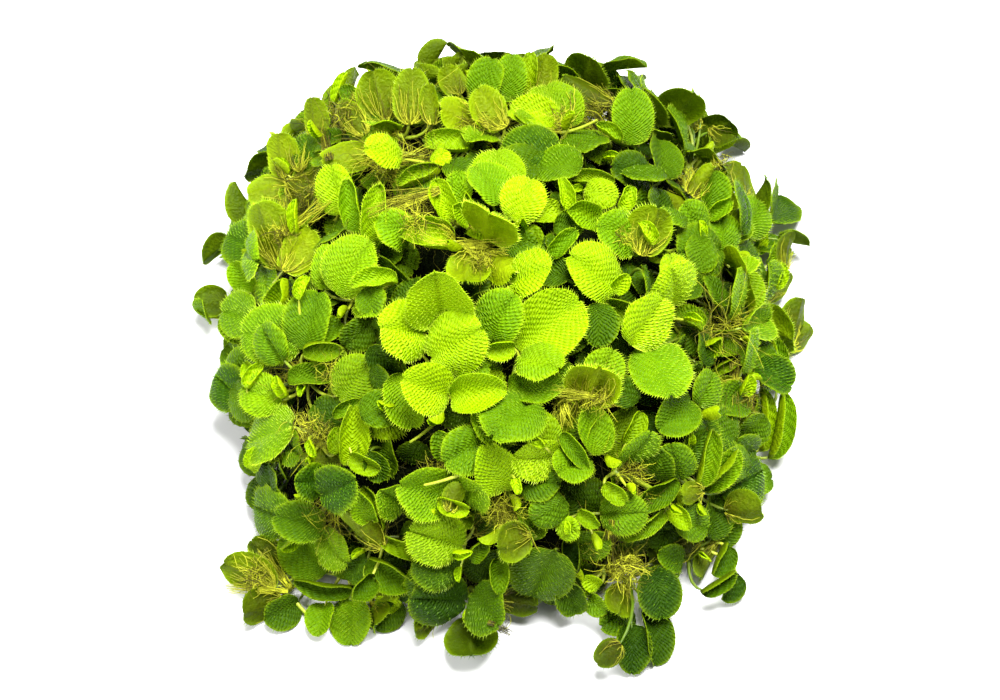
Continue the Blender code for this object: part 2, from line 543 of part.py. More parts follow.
class Taken:
    """The space that is taken already, as shapes with a sphere round each."""

    def __init__(self):
        self.shapes = []

    def blocks(self, shape, owner=None, own=False):
        """Whether a shape meets another plant's, or with own, a leaf of its own plant."""
        points, faces = shape
        if min(point.z for point in points) < FLOOR_CLEARANCE:
            return True
        centre = sum(points, Vector()) / len(points)
        radius = max((point - centre).length for point in points)
        tree = None
        for other_centre, other_radius, other_tree, other_owner, trimmed in self.shapes:
            if trimmed != own or (other_owner == owner) != own:
                continue
            if (other_centre - centre).length > radius + other_radius:
                continue
            tree = tree or BVHTree.FromPolygons(points, faces)
            if tree.overlap(other_tree):
                return True
        return False

    def add(self, shape, owner, trimmed=False):
        points, faces = shape
        centre = sum(points, Vector()) / len(points)
        radius = max((point - centre).length for point in points)
        self.shapes.append((centre, radius, BVHTree.FromPolygons(points, faces), owner, trimmed))


def settled(leaf, joints, taken, owner, inward):
    """A leaf's joint, that joint's face and the leaf's rings, once the leaf has been moved, turned or made
    smaller until it is clear of what is there, or None."""
    along, across, normal, length = leaf_frame(leaf)
    for size in SIZES:
        for shift in SHIFTS:
            base = leaf.base + inward * shift
            for joint in sorted(joints, key=lambda place: (place.centre - base).length):
                face = joint.best_face(base)
                if face is None:
                    continue
                for roll, tilt in TURNS:
                    turn = Matrix.Rotation(math.radians(tilt), 3, across)
                    tip = base + turn @ along * (length * size)
                    facing = Matrix.Rotation(math.radians(roll), 3, along) @ (turn @ normal)
                    trial = leaf._replace(base=base, tip=tip, normal=facing, width=leaf.width * size)
                    rings, grown = [leaf_rings(trial, joint.centre, gap) for gap in (0, GAP)]
                    if has_room(joint.face_points(face), rings, grown, taken, owner):
                        return joint, face, rings
    return None


def settled_tuft(stations, joints, taken, owner):
    """A tuft's joint, that joint's face and the tuft's rings, moved or thinned until it is clear, or None."""
    for size in TUFT_SIZES:
        for shift in SHIFTS:
            places = [(centre + VIEW_FORWARD * shift, radius * size) for centre, radius in stations]
            for joint in sorted(joints, key=lambda place: (place.centre - places[0][0]).length):
                face = joint.best_face(places[0][0])
                if face is None:
                    continue
                rings, grown = [tuft_rings(places, gap) for gap in (0, GAP)]
                if has_room(joint.face_points(face), rings, grown, taken, owner):
                    return joint, face, rings
    return None


def is_sound(root, ring):
    """Whether the skin between a limb's root and its first ring faces outward all round."""
    both = turned(root, turn_to(root, ring)) + ring
    middle = sum(both, Vector()) / 8
    for face in SKIN:
        a, b, c = [both[corner] for corner in face]
        if (b - a).cross(c - a).dot((a + b + c) / 3 - middle) < 0:
            return False
    return True


def has_room(root, rings, grown, taken, owner):
    """Whether a limb is a gap clear of other plants, and clear of its own plant's limbs past their roots."""
    if not is_sound(root, rings[0]):
        return False
    if taken.blocks(limb_shape(root, grown, GAP), owner):
        return False
    return not taken.blocks(limb_shape(root, rings, 0, OWN_TRIM), owner, own=True)


def leaves_round(joint, whorl, chance):
    """Leaves all round a joint, for where there is room."""
    out = outward(joint)
    right = Vector((0, 0, 1)).cross(out).normalized()
    up = out.cross(right)
    leaves = []
    start = chance.uniform(0, 60)
    for index in range(whorl.count):
        heading = math.radians(start + index * WHORL_STEP)
        rise = math.radians(chance.uniform(*whorl.rises))
        width = chance.uniform(*whorl.widths) * MM
        flat = right * math.cos(heading) + up * math.sin(heading)
        base = joint + out * whorl.lift + flat * WHORL_RADIUS
        base.z = max(base.z, LOWEST_PLACE)
        tip = base + (flat * math.cos(rise) + out * math.sin(rise)) * (width * LEAF_LENGTH_TO_WIDTH)
        facing = out * math.cos(rise) - flat * math.sin(rise)
        leaves.append(Leaf(base, tip, facing, width, chance.choice(whorl.openings), whorl.kind))
    return leaves


def add_limb(taken, joint, face, rings, owner):
    joint.free.remove(face)
    root = joint.face_points(face)
    taken.add(limb_shape(root, rings), owner)
    taken.add(limb_shape(root, rings, 0, OWN_TRIM), owner, trimmed=True)


def grow(joints, leaves, taken, owner, inward, most=12):
    """The leaves that find room, as limbs (joint, face, rings)."""
    limbs = []
    for leaf in leaves:
        found = settled(leaf, joints, taken, owner, inward)
        if found:
            add_limb(taken, *found, owner)
            limbs.append(found)
        if len(limbs) == most:
            break
    return limbs


def grow_tufts(joints, tufts, taken, owner):
    limbs = []
    for stations in tufts:
        found = settled_tuft(stations, joints, taken, owner)
        if found:
            add_limb(taken, *found, owner)
            limbs.append(found)
    return limbs


def hold_joint(joint, taken, owner):
    """Takes the space of a joint's own body, unless something is there already."""
    taken.add((joint.corners, joint.faces), owner, trimmed=True)
    body = [(point - joint.centre) * (1 + GAP / JOINT_RADIUS) + joint.centre for point in joint.corners]
    if taken.blocks((body, joint.faces), owner):
        return False
    taken.add((body, joint.faces), owner)
    return True


def plant_name(index):
    return f"plant_{index + 1:02d}"


def seen_plants(taken):
    """The plants of the list: first every joint and stem takes its space, then the leaves and the tufts."""
    plants = []
    for index, (places, _) in enumerate(PLANTS):
        joints = [Joint(joint_at(x, y)) for x, y in places]
        for joint in joints:
            hold_joint(joint, taken, plant_name(index))
        stem = None
        if len(joints) > 1:
            stem = stem_shape(*joints)
            taken.add(stem_shape(*joints, GAP)[:2], plant_name(index))
            taken.add(stem_shape(*joints, 0, OWN_TRIM)[:2], plant_name(index), trimmed=True)
            for joint, face in zip(joints, stem[2]):
                joint.free.remove(face)
        plants.append((joints, stem, []))
    for index, (_, rows) in enumerate(PLANTS):
        joints, _, limbs = plants[index]
        rows = [Row(*row) for row in rows]
        leaves = [leaf_from_row(row) for row in rows if row.kind != ROOTS and row.width >= SMALLEST_LEAF]
        limbs += grow(joints, leaves, taken, plant_name(index), VIEW_FORWARD)
        tufts = [tuft_stations(row) for row in rows if row.kind == ROOTS]
        limbs += grow_tufts(joints, tufts, taken, plant_name(index))
    chance = random.Random(LOW_SEED)
    for index, (joints, _, limbs) in enumerate(plants):
        for joint in joints:
            leaves = leaves_round(joint.centre, LOW_WHORL, chance)
            inward = -outward(joint.centre)
            limbs += grow([joint], leaves, taken, plant_name(index), inward, LOW_WHORL.most)
    return plants


def rear_plants(taken):
    """Plants on the far sides, each with leaves all round its one joint."""
    plants = []
    chance = random.Random(REAR_SEED)
    places = [(first + (last - first) * step / (count - 1), height_angle)
              for height_angle, first, last, count in REAR_RINGS for step in range(count)]
    for bearing, height_angle in places:
        if len(plants) == REAR_PLANTS:
            break
        owner = plant_name(len(PLANTS) + len(plants))
        joint = Joint(joint_on_bearing(bearing, height_angle))
        leaves = leaves_round(joint.centre, REAR_WHORL, chance)
        before = len(taken.shapes)
        limbs = []
        if hold_joint(joint, taken, owner):
            limbs = grow([joint], leaves, taken, owner, -outward(joint.centre))
        if len(limbs) >= FEWEST_LEAVES:
            plants.append(([joint], None, limbs))
        else:
            del taken.shapes[before:]
    return plants


def material(name, colour, roughness):
    made = bpy.data.materials.new(name)
    made.use_nodes = True
    shader = made.node_tree.nodes["Principled BSDF"]
    shader.inputs["Base Color"].default_value = colour
    shader.inputs["Roughness"].default_value = roughness
    return made


def make_plant(name, plan, surface):
    """One plant as one closed skin: its joints, with a limb drawn out of each face that a limb grows from."""
    joints, stem, limbs = plan
    build = bmesh.new()
    corners = {joint: [build.verts.new(point) for point in joint.corners] for joint in joints}
    for joint in joints:
        for face in joint.free:
            build.faces.new([corners[joint][k] for k in joint.faces[face]])
    if stem:
        first = [corners[joints[0]][k] for k in joints[0].faces[stem[2][0]]]
        second = [corners[joints[1]][k] for k in joints[1].faces[stem[2][1]]]
        second = [min(second, key=lambda vertex: (vertex.co - point).length) for point in stem[0][4:]]
        skin(build, first, second)
    for joint, face, rings in limbs:
        ring = [corners[joint][k] for k in joint.faces[face]]
        ring = turned(ring, turn_to(joint.face_points(face), rings[0]))
        for points in rings[:-1]:
            following = [build.verts.new(point) for point in points]
            skin(build, ring, following)
            ring = following
        tip = build.verts.new(rings[-1][0])
        for k in range(4):
            build.faces.new((ring[k], ring[(k + 1) % 4], tip))
    mesh = bpy.data.meshes.new(name)
    build.to_mesh(mesh)
    build.free()
    mesh.materials.append(surface)
    made = bpy.data.objects.new(name, mesh)
    bpy.context.scene.collection.objects.link(made)
    return made


def skin(build, ring, following):
    both = ring + following
    for face in SKIN:
        build.faces.new([both[corner] for corner in face])


def tangle_radius(direction):
    """How far the tangle reaches in a direction: its level, roughened by a few waves."""
    across, along, up = [count * part for count, part in zip(TANGLE_WAVES, direction)]
    waves = math.sin(across + 1) * math.sin(along + 2) * math.cos(up)
    return reach_to(direction, TANGLE_LEVEL) - TANGLE_ROUGHNESS * (1 + waves) / 2


def make_root_tangle(surface):
    """The tangle: a dome with a rough skin and a flat underside that the clump rests on."""
    build = bmesh.new()
    bmesh.ops.create_icosphere(build, subdivisions=3, radius=1.0)
    cut = bmesh.ops.bisect_plane(
        build, geom=build.verts[:] + build.edges[:] + build.faces[:],
        plane_co=(0, 0, 0), plane_no=(0, 0, -1), clear_outer=True)
    rim = [edge for edge in cut["geom_cut"] if isinstance(edge, bmesh.types.BMEdge)]
    for vertex in build.verts:
        direction = vertex.co.normalized()
        flat = vertex.co.z < 1e-5
        vertex.co = direction * tangle_radius(direction)
        if flat:
            vertex.co.z = 0
    bmesh.ops.contextual_create(build, geom=rim)
    bmesh.ops.recalc_face_normals(build, faces=build.faces)
    mesh = bpy.data.meshes.new("root_tangle")
    build.to_mesh(mesh)
    build.free()
    mesh.materials.append(surface)
    made = bpy.data.objects.new("root_tangle", mesh)
    bpy.context.scene.collection.objects.link(made)
    return [vertex.co.copy() for vertex in mesh.vertices], [tuple(face.vertices) for face in mesh.polygons]


clear_scene()
tangle_skin = make_root_tangle(material("root brown", TANGLE_BROWN, 0.9))
leaf_surface = material("leaf green", LEAF_GREEN, 0.5)
space = Taken()
space.add(tangle_skin, "root_tangle")
for number, plan in enumerate(seen_plants(space) + rear_plants(space)):
    make_plant(plant_name(number), plan, leaf_surface)
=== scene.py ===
"""Water spangles: a rounded clump of small floating ferns, held together by their tangled roots.

Where each plant's joints, leaves and root tufts are is read from its solid in the frame, and the
fine leaves are made there. Lengths are in metres, and +Z is up.
"""

import math
import random
from collections import namedtuple

import bmesh
import bpy
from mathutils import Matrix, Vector, noise
from mathutils.bvhtree import BVHTree


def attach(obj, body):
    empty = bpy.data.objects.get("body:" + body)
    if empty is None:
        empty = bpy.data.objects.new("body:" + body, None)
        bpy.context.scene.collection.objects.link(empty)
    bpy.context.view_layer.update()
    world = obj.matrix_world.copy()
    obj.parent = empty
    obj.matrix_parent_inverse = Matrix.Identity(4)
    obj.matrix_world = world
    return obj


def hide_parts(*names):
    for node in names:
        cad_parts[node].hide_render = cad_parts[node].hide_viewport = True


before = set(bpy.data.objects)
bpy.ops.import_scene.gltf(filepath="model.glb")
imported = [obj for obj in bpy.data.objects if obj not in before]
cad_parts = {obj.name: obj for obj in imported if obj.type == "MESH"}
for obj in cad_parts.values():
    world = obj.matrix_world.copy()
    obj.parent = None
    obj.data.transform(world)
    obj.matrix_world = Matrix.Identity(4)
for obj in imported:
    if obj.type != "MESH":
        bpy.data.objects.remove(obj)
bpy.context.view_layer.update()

# The camera looks down on the clump from the front, as the photograph does. Further on, picture
# places in pixels say which leaf is meant, or where a small leaf or a loose root lies.
VIEW_ELEVATION = math.radians(58)
VIEW_DISTANCE = 0.60
METRES_PER_PIXEL = 0.000224
PICTURE_WIDTH = 1000
PICTURE_HEIGHT = 700
VIEW_CENTRE_X = 500
VIEW_CENTRE_Y = 352
SENSOR_WIDTH = 36
NEAREST_SEEN = 0.01

VIEW_FORWARD = Vector((0, math.cos(VIEW_ELEVATION), -math.sin(VIEW_ELEVATION)))
VIEW_UP = Vector((0, math.sin(VIEW_ELEVATION), math.cos(VIEW_ELEVATION)))
VIEW_POINT = VIEW_FORWARD * -VIEW_DISTANCE


def add_object(name, data):
    made = bpy.data.objects.new(name, data)
    bpy.context.scene.collection.objects.link(made)
    return made


def look_along(thing, place, heading):
    """Puts a camera or a light in its place, turned so that it looks along a heading."""
    thing.location = place
    thing.rotation_mode = "QUATERNION"
    thing.rotation_quaternion = heading.to_track_quat("-Z", "Y")


def add_camera():
    lens = bpy.data.cameras.new("camera")
    lens.sensor_width = SENSOR_WIDTH
    lens.lens = SENSOR_WIDTH * VIEW_DISTANCE / (PICTURE_WIDTH * METRES_PER_PIXEL)
    lens.shift_y = (VIEW_CENTRE_Y - PICTURE_HEIGHT / 2) / PICTURE_WIDTH
    lens.clip_start = NEAREST_SEEN
    camera = add_object("camera", lens)
    look_along(camera, VIEW_POINT, VIEW_FORWARD)
    bpy.context.scene.camera = camera


add_camera()

# The plants, read from their solids. A limb's solid is a row of four-cornered rings that ends in a
# point, and it is followed from that point back to the joint that it grows from. Two rings make a
# root tuft, and more make a leaf.
JOINT_RADIUS = 0.0013
JOINT_EDGE = JOINT_RADIUS * math.sqrt(1.5)
SHORTEST_POINT = 0.00115
SAME_PLACE = 1e-5

# For each number of rings, the one that a leaf is measured at, and its part of the half width
OUTLINE_PARTS = {3: (-3, 1.0), 4: (-3, 0.86), 5: (-4, 1.0)}

Leaf = namedtuple("Leaf", "root base along across normal length width fold")
Tuft = namedtuple("Tuft", "root belly radius tip")


def square_to(way, vector):
    """The direction of a vector's part that is square to a way."""
    return (vector - way * vector.dot(way)).normalized()


def merged_solid(name):
    """A node's solid, its triangles joined at their corners."""
    build = bmesh.new()
    build.from_mesh(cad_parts[name].data)
    bmesh.ops.remove_doubles(build, verts=build.verts, dist=SAME_PLACE)
    build.verts.index_update()
    return build


def in_order(corners):
    """Corners in a fixed order, so that every run measures the same."""
    return sorted(corners, key=lambda corner: corner.index)


def centre_of(ring):
    return sum((corner.co for corner in in_order(ring)), Vector()) / 4


def rings_of(tip, near):
    """The rings of the limb that ends in this corner, from its tip back to its root, or None."""
    ring = near[tip]
    if len(ring) != 4 or any(len(near[corner] & ring) != 2 for corner in ring):
        return None
    if (centre_of(ring) - tip.co).length < SHORTEST_POINT:
        return None
    rings, seen = [ring], {tip} | ring
    while True:
        edges = [(a.co - b.co).length for a in rings[-1] for b in near[a] & rings[-1]]
        if all(abs(edge - JOINT_EDGE) < SAME_PLACE for edge in edges):
            return rings
        before = set().union(*(near[corner] for corner in rings[-1])) - seen
        if len(before) != 4:
            return None
        rings.append(before)
        seen |= before


def root_of(ring, near, towards):
    """The centre of the joint whose face this ring is."""
    first = in_order(ring)[0]
    second, third = in_order(near[first] & ring)
    out = (second.co - first.co).cross(third.co - first.co).normalized()
    centre = centre_of(ring)
    if out.dot(towards - centre) < 0:
        out.negate()
    return centre - out * JOINT_RADIUS


def leaf_of(tip, rings, near):
    """The leaf that these rings show. A ring has two corners on the midrib and two on the edges."""
    base = centre_of(rings[-2])
    along = (tip.co - base).normalized()
    index, part_across = OUTLINE_PARTS[len(rings)]
    first = in_order(rings[index])[0]
    opposite, = rings[index] - near[first] - {first}
    pairs = [(first, opposite), in_order(rings[index] - {first, opposite})]

    def off_axis(pair):
        middle = (pair[0].co + pair[1].co) / 2 - base
        return (middle - along * middle.dot(along)).length + (pair[0].co - pair[1].co).length

    midrib, edges = sorted(pairs, key=off_axis)
    centre = (midrib[0].co + midrib[1].co) / 2
    reach = (edges[0].co - centre).length
    lift = (edges[0].co + edges[1].co) / 2 - centre
    normal = square_to(along, lift)
    fold = math.asin(min(lift.length / reach, 1))
    root = root_of(rings[-1], near, base)
    length, width = (tip.co - base).length, 2 * reach / part_across
    return Leaf(root, base, along, normal.cross(along), normal, length, width, fold)


def read_plant(name):
    """A plant's joints, leaves and root tufts."""
    build = merged_solid(name)
    near = {corner: {edge.other_vert(corner) for edge in corner.link_edges}
            for corner in build.verts}
    leaves, tufts = [], []
    for tip in build.verts:
        rings = rings_of(tip, near)
        if rings and len(rings) == 2:
            belly = centre_of(rings[0])
            radius = max((corner.co - belly).length for corner in rings[0])
            tufts.append(Tuft(root_of(rings[1], near, belly), belly, radius, tip.co.copy()))
        elif rings:
            leaves.append(leaf_of(tip, rings, near))
    build.free()
    joints = []
    for limb in leaves + tufts:
        if all((limb.root - joint).length > JOINT_RADIUS for joint in joints):
            joints.append(limb.root)
    return joints, leaves, tufts


PLANT_NODES = sorted(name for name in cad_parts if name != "root_tangle")
plants = {name: read_plant(name) for name in PLANT_NODES}

# The skins of the plants and of the tangle show what carries a small leaf or a loose root, whether
# a leaf has room, and how deep in the clump a place is.
CLUMP_MIDDLE = Vector((0, 0, 0.004))
REACH_WITHOUT_SKIN = 0.05


def skin_of(names):
    points, faces = [], []
    for name in names:
        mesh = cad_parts[name].data
        first = len(points)
        points += [vertex.co.copy() for vertex in mesh.vertices]
        faces += [[first + corner for corner in face.vertices] for face in mesh.polygons]
    return BVHTree.FromPolygons(points, faces)


plant_skins = skin_of(PLANT_NODES)
tangle_skin = skin_of(["root_tangle"])


def tangle_reach(direction):
    """How far the tangle's skin is from the clump's middle in a direction."""
    _, _, _, distance = tangle_skin.ray_cast(CLUMP_MIDDLE, direction)
    return distance or REACH_WITHOUT_SKIN


def height_over_tangle(point):
    away = point - CLUMP_MIDDLE
    return away.length - tangle_reach(away.normalized())


# What grows is drawn first as a plain mesh: leaf faces, loose points where hairs stand, and loose
# lines where roots and stems run. A geometry node tree then turns the points into hairs and the
# lines into tubes, and gives each part its finish.
PARTS = ("Leaf", "Hair", "Root", "Stem", "Core")
LEAF, HAIR, ROOT, STEM, CORE = range(5)
HAIR_BREADTH = 0.10
ROOT_SIDES = 3
STEM_SIDES = 6

# The marks that a finish reads. Shade is painted light and shade, how lit a place is drawn, with
# some random tone on roots; tint runs from deep green to yellow, row counts the rows of hairs and
# stroke the hairs along a row, across runs from the midrib to the margin, under is 1 on undersides,
# and brown is where roots stain them.
MARKS = ("shade", "tint", "row", "stroke", "across", "under", "brown")


class Growth:
    """The points, faces and lines of a piece, with the marks of each point."""

    def __init__(self):
        self.points, self.faces, self.lines, self.flat = [], [], [], []
        self.parts, self.sizes, self.aims = [], [], []
        self.marks = {name: [] for name in MARKS}

    def point(self, place, part, size=0.0, aim=(0, 0, 1), **marks):
        self.points.append(place)
        self.parts.append(part)
        self.sizes.append(size)
        self.aims.append(aim)
        for name in MARKS:
            self.marks[name].append(marks.get(name, 0.0))
        return len(self.points) - 1

    def face(self, corners, flat=False):
        self.faces.append(corners)
        self.flat.append(flat)

    def line(self, places, sizes, part, shade, tint):
        """A tube's line through these places, with its radius at each."""
        before = None
        for place, size in zip(places, sizes):
            index = self.point(place, part, size, shade=shade, tint=tint)
            if before is not None:
                self.lines.append((before, index))
            before = index

    def mesh(self, name):
        made = bpy.data.meshes.new(name)
        made.from_pydata(self.points, self.lines, self.faces, shade_flat=False)
        aims = [part for aim in self.aims for part in aim]
        columns = [(key, "FLOAT", "POINT", "value", values) for key, values in self.marks.items()]
        columns += [("size", "FLOAT", "POINT", "value", self.sizes),
                    ("part", "INT", "POINT", "value", self.parts),
                    ("sharp_face", "BOOLEAN", "FACE", "value", self.flat),
                    ("aim", "FLOAT_VECTOR", "POINT", "vector", aims)]
        for key, kind, domain, field, values in columns:
            made.attributes.new(key, kind, domain).data.foreach_set(field, values)
        return made


def join(tree, value, socket):
    """Links a socket to another's value, or sets its own."""
    if isinstance(value, bpy.types.NodeSocket):
        tree.links.new(value, socket)
    else:
        socket.default_value = value


def put_node(tree, kind, values, **settings):
    """A new node, with the values of its inputs."""
    node = tree.nodes.new(kind)
    for key, setting in settings.items():
        setattr(node, key, setting)
    for socket, value in values.items():
        join(tree, value, node.inputs[socket])
    return node


def growth_tree():
    """The node tree that makes hairs, roots and stems of a Growth, and its finishes' sockets."""
    tree = bpy.data.node_groups.new("growth", "GeometryNodeTree")

    def take(name, kind, value=None):
        socket = tree.interface.new_socket(name, in_out="INPUT", socket_type="NodeSocket" + kind)
        if value is not None:
            socket.default_value = value
        return socket.identifier

    take("Geometry", "Geometry")
    take("Hair Width", "Float", HAIR_BREADTH)
    take("Root Sides", "Int", ROOT_SIDES)
    take("Stem Sides", "Int", STEM_SIDES)
    finish_sockets = {name: take(name, "Material") for name in PARTS}
    tree.interface.new_socket("Geometry", in_out="OUTPUT", socket_type="NodeSocketGeometry")

    def put(kind, values, **settings):
        return put_node(tree, kind, values, **settings).outputs[0]

    given = tree.nodes.new("NodeGroupInput").outputs

    def named(name, kind):
        return put("GeometryNodeInputNamedAttribute", {"Name": name}, data_type=kind)

    def only(part):
        chosen = put("FunctionNodeCompare", {2: named("part", "INT"), 3: part},
                     data_type="INT", operation="EQUAL")
        return put("GeometryNodeSeparateGeometry",
                   {"Geometry": given["Geometry"], "Selection": chosen}, domain="POINT")

    def tubes(part, sides):
        curve = put("GeometryNodeMeshToCurve", {"Mesh": only(part)})
        profile = put("GeometryNodeCurvePrimitiveCircle",
                      {"Resolution": given[sides], "Radius": 1.0})
        return put("GeometryNodeCurveToMesh", {"Curve": curve, "Profile Curve": profile,
                                               "Fill Caps": True, "Scale": named("size", "FLOAT")})

    def hairs():
        cone = put("GeometryNodeMeshCone",
                   {"Vertices": 3, "Radius Bottom": given["Hair Width"], "Radius Top": 0.0,
                    "Depth": 1.0}, fill_type="NGON")
        turn = put("FunctionNodeAlignRotationToVector", {"Vector": named("aim", "FLOAT_VECTOR")},
                   axis="Z")
        stood = put("GeometryNodeInstanceOnPoints", {"Points": only(HAIR), "Instance": cone,
                                                     "Rotation": turn,
                                                     "Scale": named("size", "FLOAT")})
        return put("GeometryNodeRealizeInstances", {"Geometry": stood})

    joined = tree.nodes.new("GeometryNodeJoinGeometry")
    for name, part in (("Leaf", only(LEAF)), ("Core", only(CORE)), ("Hair", hairs()),
                       ("Root", tubes(ROOT, "Root Sides")), ("Stem", tubes(STEM, "Stem Sides"))):
        finished = put("GeometryNodeSetMaterial", {"Geometry": part, "Material": given[name]})
        tree.links.new(finished, joined.inputs[0])
    tree.links.new(joined.outputs[0], tree.nodes.new("NodeGroupOutput").inputs[0])
    return tree, finish_sockets


GROWTH_TREE, FINISH_SOCKETS = growth_tree()
finishes = {}


def make_piece(name, growth, node):
    """The finished piece: the tree's result as a plain mesh that stands for a CAD node."""
    rough = growth.mesh(name)
    piece = add_object(name, rough)
    modifier = piece.modifiers.new("growth", "NODES")
    modifier.node_group = GROWTH_TREE
    for part, socket in FINISH_SOCKETS.items():
        modifier[socket] = finishes[part]
    graph = bpy.context.evaluated_depsgraph_get()
    plain = bpy.data.meshes.new_from_object(piece.evaluated_get(graph), depsgraph=graph,
                                            preserve_all_data_layers=True)
    piece.modifiers.remove(modifier)
    piece.data = plain
    bpy.data.meshes.remove(rough)
    plain.name = name
    for key in ("part", "size", "aim"):
        if key in plain.attributes:
            plain.attributes.remove(plain.attributes[key])
    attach(piece, "root")
    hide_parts(node)


# A leaf is two rounded halves on a midrib, thin and soft, green and hairy on top, crinkled below.
# Its rows of hairs fan out from the midrib to the margin, and its mesh follows them: a grid of rows
# and of steps across each half, on top and below, closed round the margin.
LEAF_DEEP = (0.036, 0.108, 0.001, 1)
LEAF_GREEN = (0.238, 0.480, 0.001, 1)
LEAF_YELLOW = (0.490, 0.750, 0.001, 1)
UNDER_DEEP = (0.075, 0.135, 0.001, 1)
UNDER_GREEN = (0.205, 0.320, 0.001, 1)
UNDER_YELLOW = (0.370, 0.520, 0.001, 1)
UNDER_BROWN = (0.110, 0.090, 0.003, 1)
LEAF_ROUGHNESS, LEAF_GLOSS = 0.46, 0.10
ROW_GRAIN, ROW_WOBBLE = (650, 2), 1.6
STROKE_OFFSET = 0.37
STROKE_DEPTH = 0.8
MOTTLE_GRAIN, MOTTLE = (380, 3), 0.4
CRINKLE_GRAIN, CRINKLE_MOTTLE = (1500, 4), 0.7
HOLLOW_SHADE, HOLLOW_SHADE_FALL = 0.62, -0.42
STAIN_GRAIN, STAIN_SPREAD, STAIN_FROM = (700, 4), 2.6, -0.35
MARGIN_SHARPNESS, MARGIN_PALENESS = 12.0, 0.5
STROKES_BELOW = -0.85
CRINKLE_ON_TOP, MORE_CRINKLE_BELOW = 0.4, 0.8
RELIEF_HEIGHT, RELIEF_STRENGTH = 0.00040, 0.85
LEAF_GLOW, LEAF_GLOW_YELLOW = 0.30, 0.4

HAIR_GREEN = (0.240, 0.500, 0.006, 1)
HAIR_PALE = (0.720, 0.920, 0.045, 1)
HAIR_ROUGHNESS, HAIR_GLOSS, HAIR_GLOW = 0.4, 0.16, 0.3


class Finish:
    """A material, and a short hand for its nodes."""

    def __init__(self, name, roughness, gloss):
        self.material = bpy.data.materials.new(name)
        self.material.use_nodes = True
        self.tree = self.material.node_tree
        self.shader = self.tree.nodes["Principled BSDF"]
        self.shader.inputs["Roughness"].default_value = roughness
        self.shader.inputs["Specular IOR Level"].default_value = gloss

    def put(self, kind, values, **settings):
        return put_node(self.tree, kind, values, **settings).outputs[0]

    def mark(self, name):
        return put_node(self.tree, "ShaderNodeAttribute", {}, attribute_name=name).outputs["Fac"]

    def math(self, operation, *values, clamp=False):
        return self.put("ShaderNodeMath", dict(enumerate(values)), operation=operation,
                        use_clamp=clamp)

    def scaled(self, value, factor, addend):
        return self.math("MULTIPLY_ADD", value, factor, addend)

    def varied(self, value, grain, amount):
        """A value that a grain moves, by up to half of the amount each way."""
        return self.math("ADD", value, self.scaled(grain, amount, -amount / 2))

    def ramp(self, factor, *stops):
        node = put_node(self.tree, "ShaderNodeValToRGB", {0: factor})
        points = node.color_ramp.elements
        for index, (place, colour) in enumerate(stops):
            point = points[index] if index < 2 else points.new(place)
            point.position = place
            point.color = colour
        return node.outputs[0]

    def mix(self, factor, first, second, kind="MIX"):
        return put_node(self.tree, "ShaderNodeMix", {0: factor, 6: first, 7: second},
                        data_type="RGBA", blend_type=kind).outputs[2]

    def noise(self, scale, detail):
        node = self.tree.nodes.new("ShaderNodeTexCoord")
        return self.put("ShaderNodeTexNoise", {"Vector": node.outputs["Object"], "Scale": scale,
                                               "Detail": detail})

    def bump(self, height, distance, strength=1.0):
        normal = self.put("ShaderNodeBump", {"Distance": distance, "Strength": strength,
                                             "Height": height})
        return self.feed("Normal", normal)

    def feed(self, name, value):
        join(self.tree, value, self.shader.inputs[name])
        return value

    def paint(self, colour):
        """The base colour, darkened by the place's painted shade."""
        return self.feed("Base Color", self.mix(1.0, colour, self.mark("shade"), "MULTIPLY"))

    def see_through(self, colour, share, normal=None):
        """Lets part of the light through, as a thin leaf does."""
        values = {"Color": colour, "Normal": normal} if normal else {"Color": colour}
        glow = self.put("ShaderNodeBsdfTranslucent", values)
        both = self.put("ShaderNodeMixShader", {0: share, 1: self.shader.outputs[0], 2: glow})
        join(self.tree, both, self.tree.nodes["Material Output"].inputs[0])


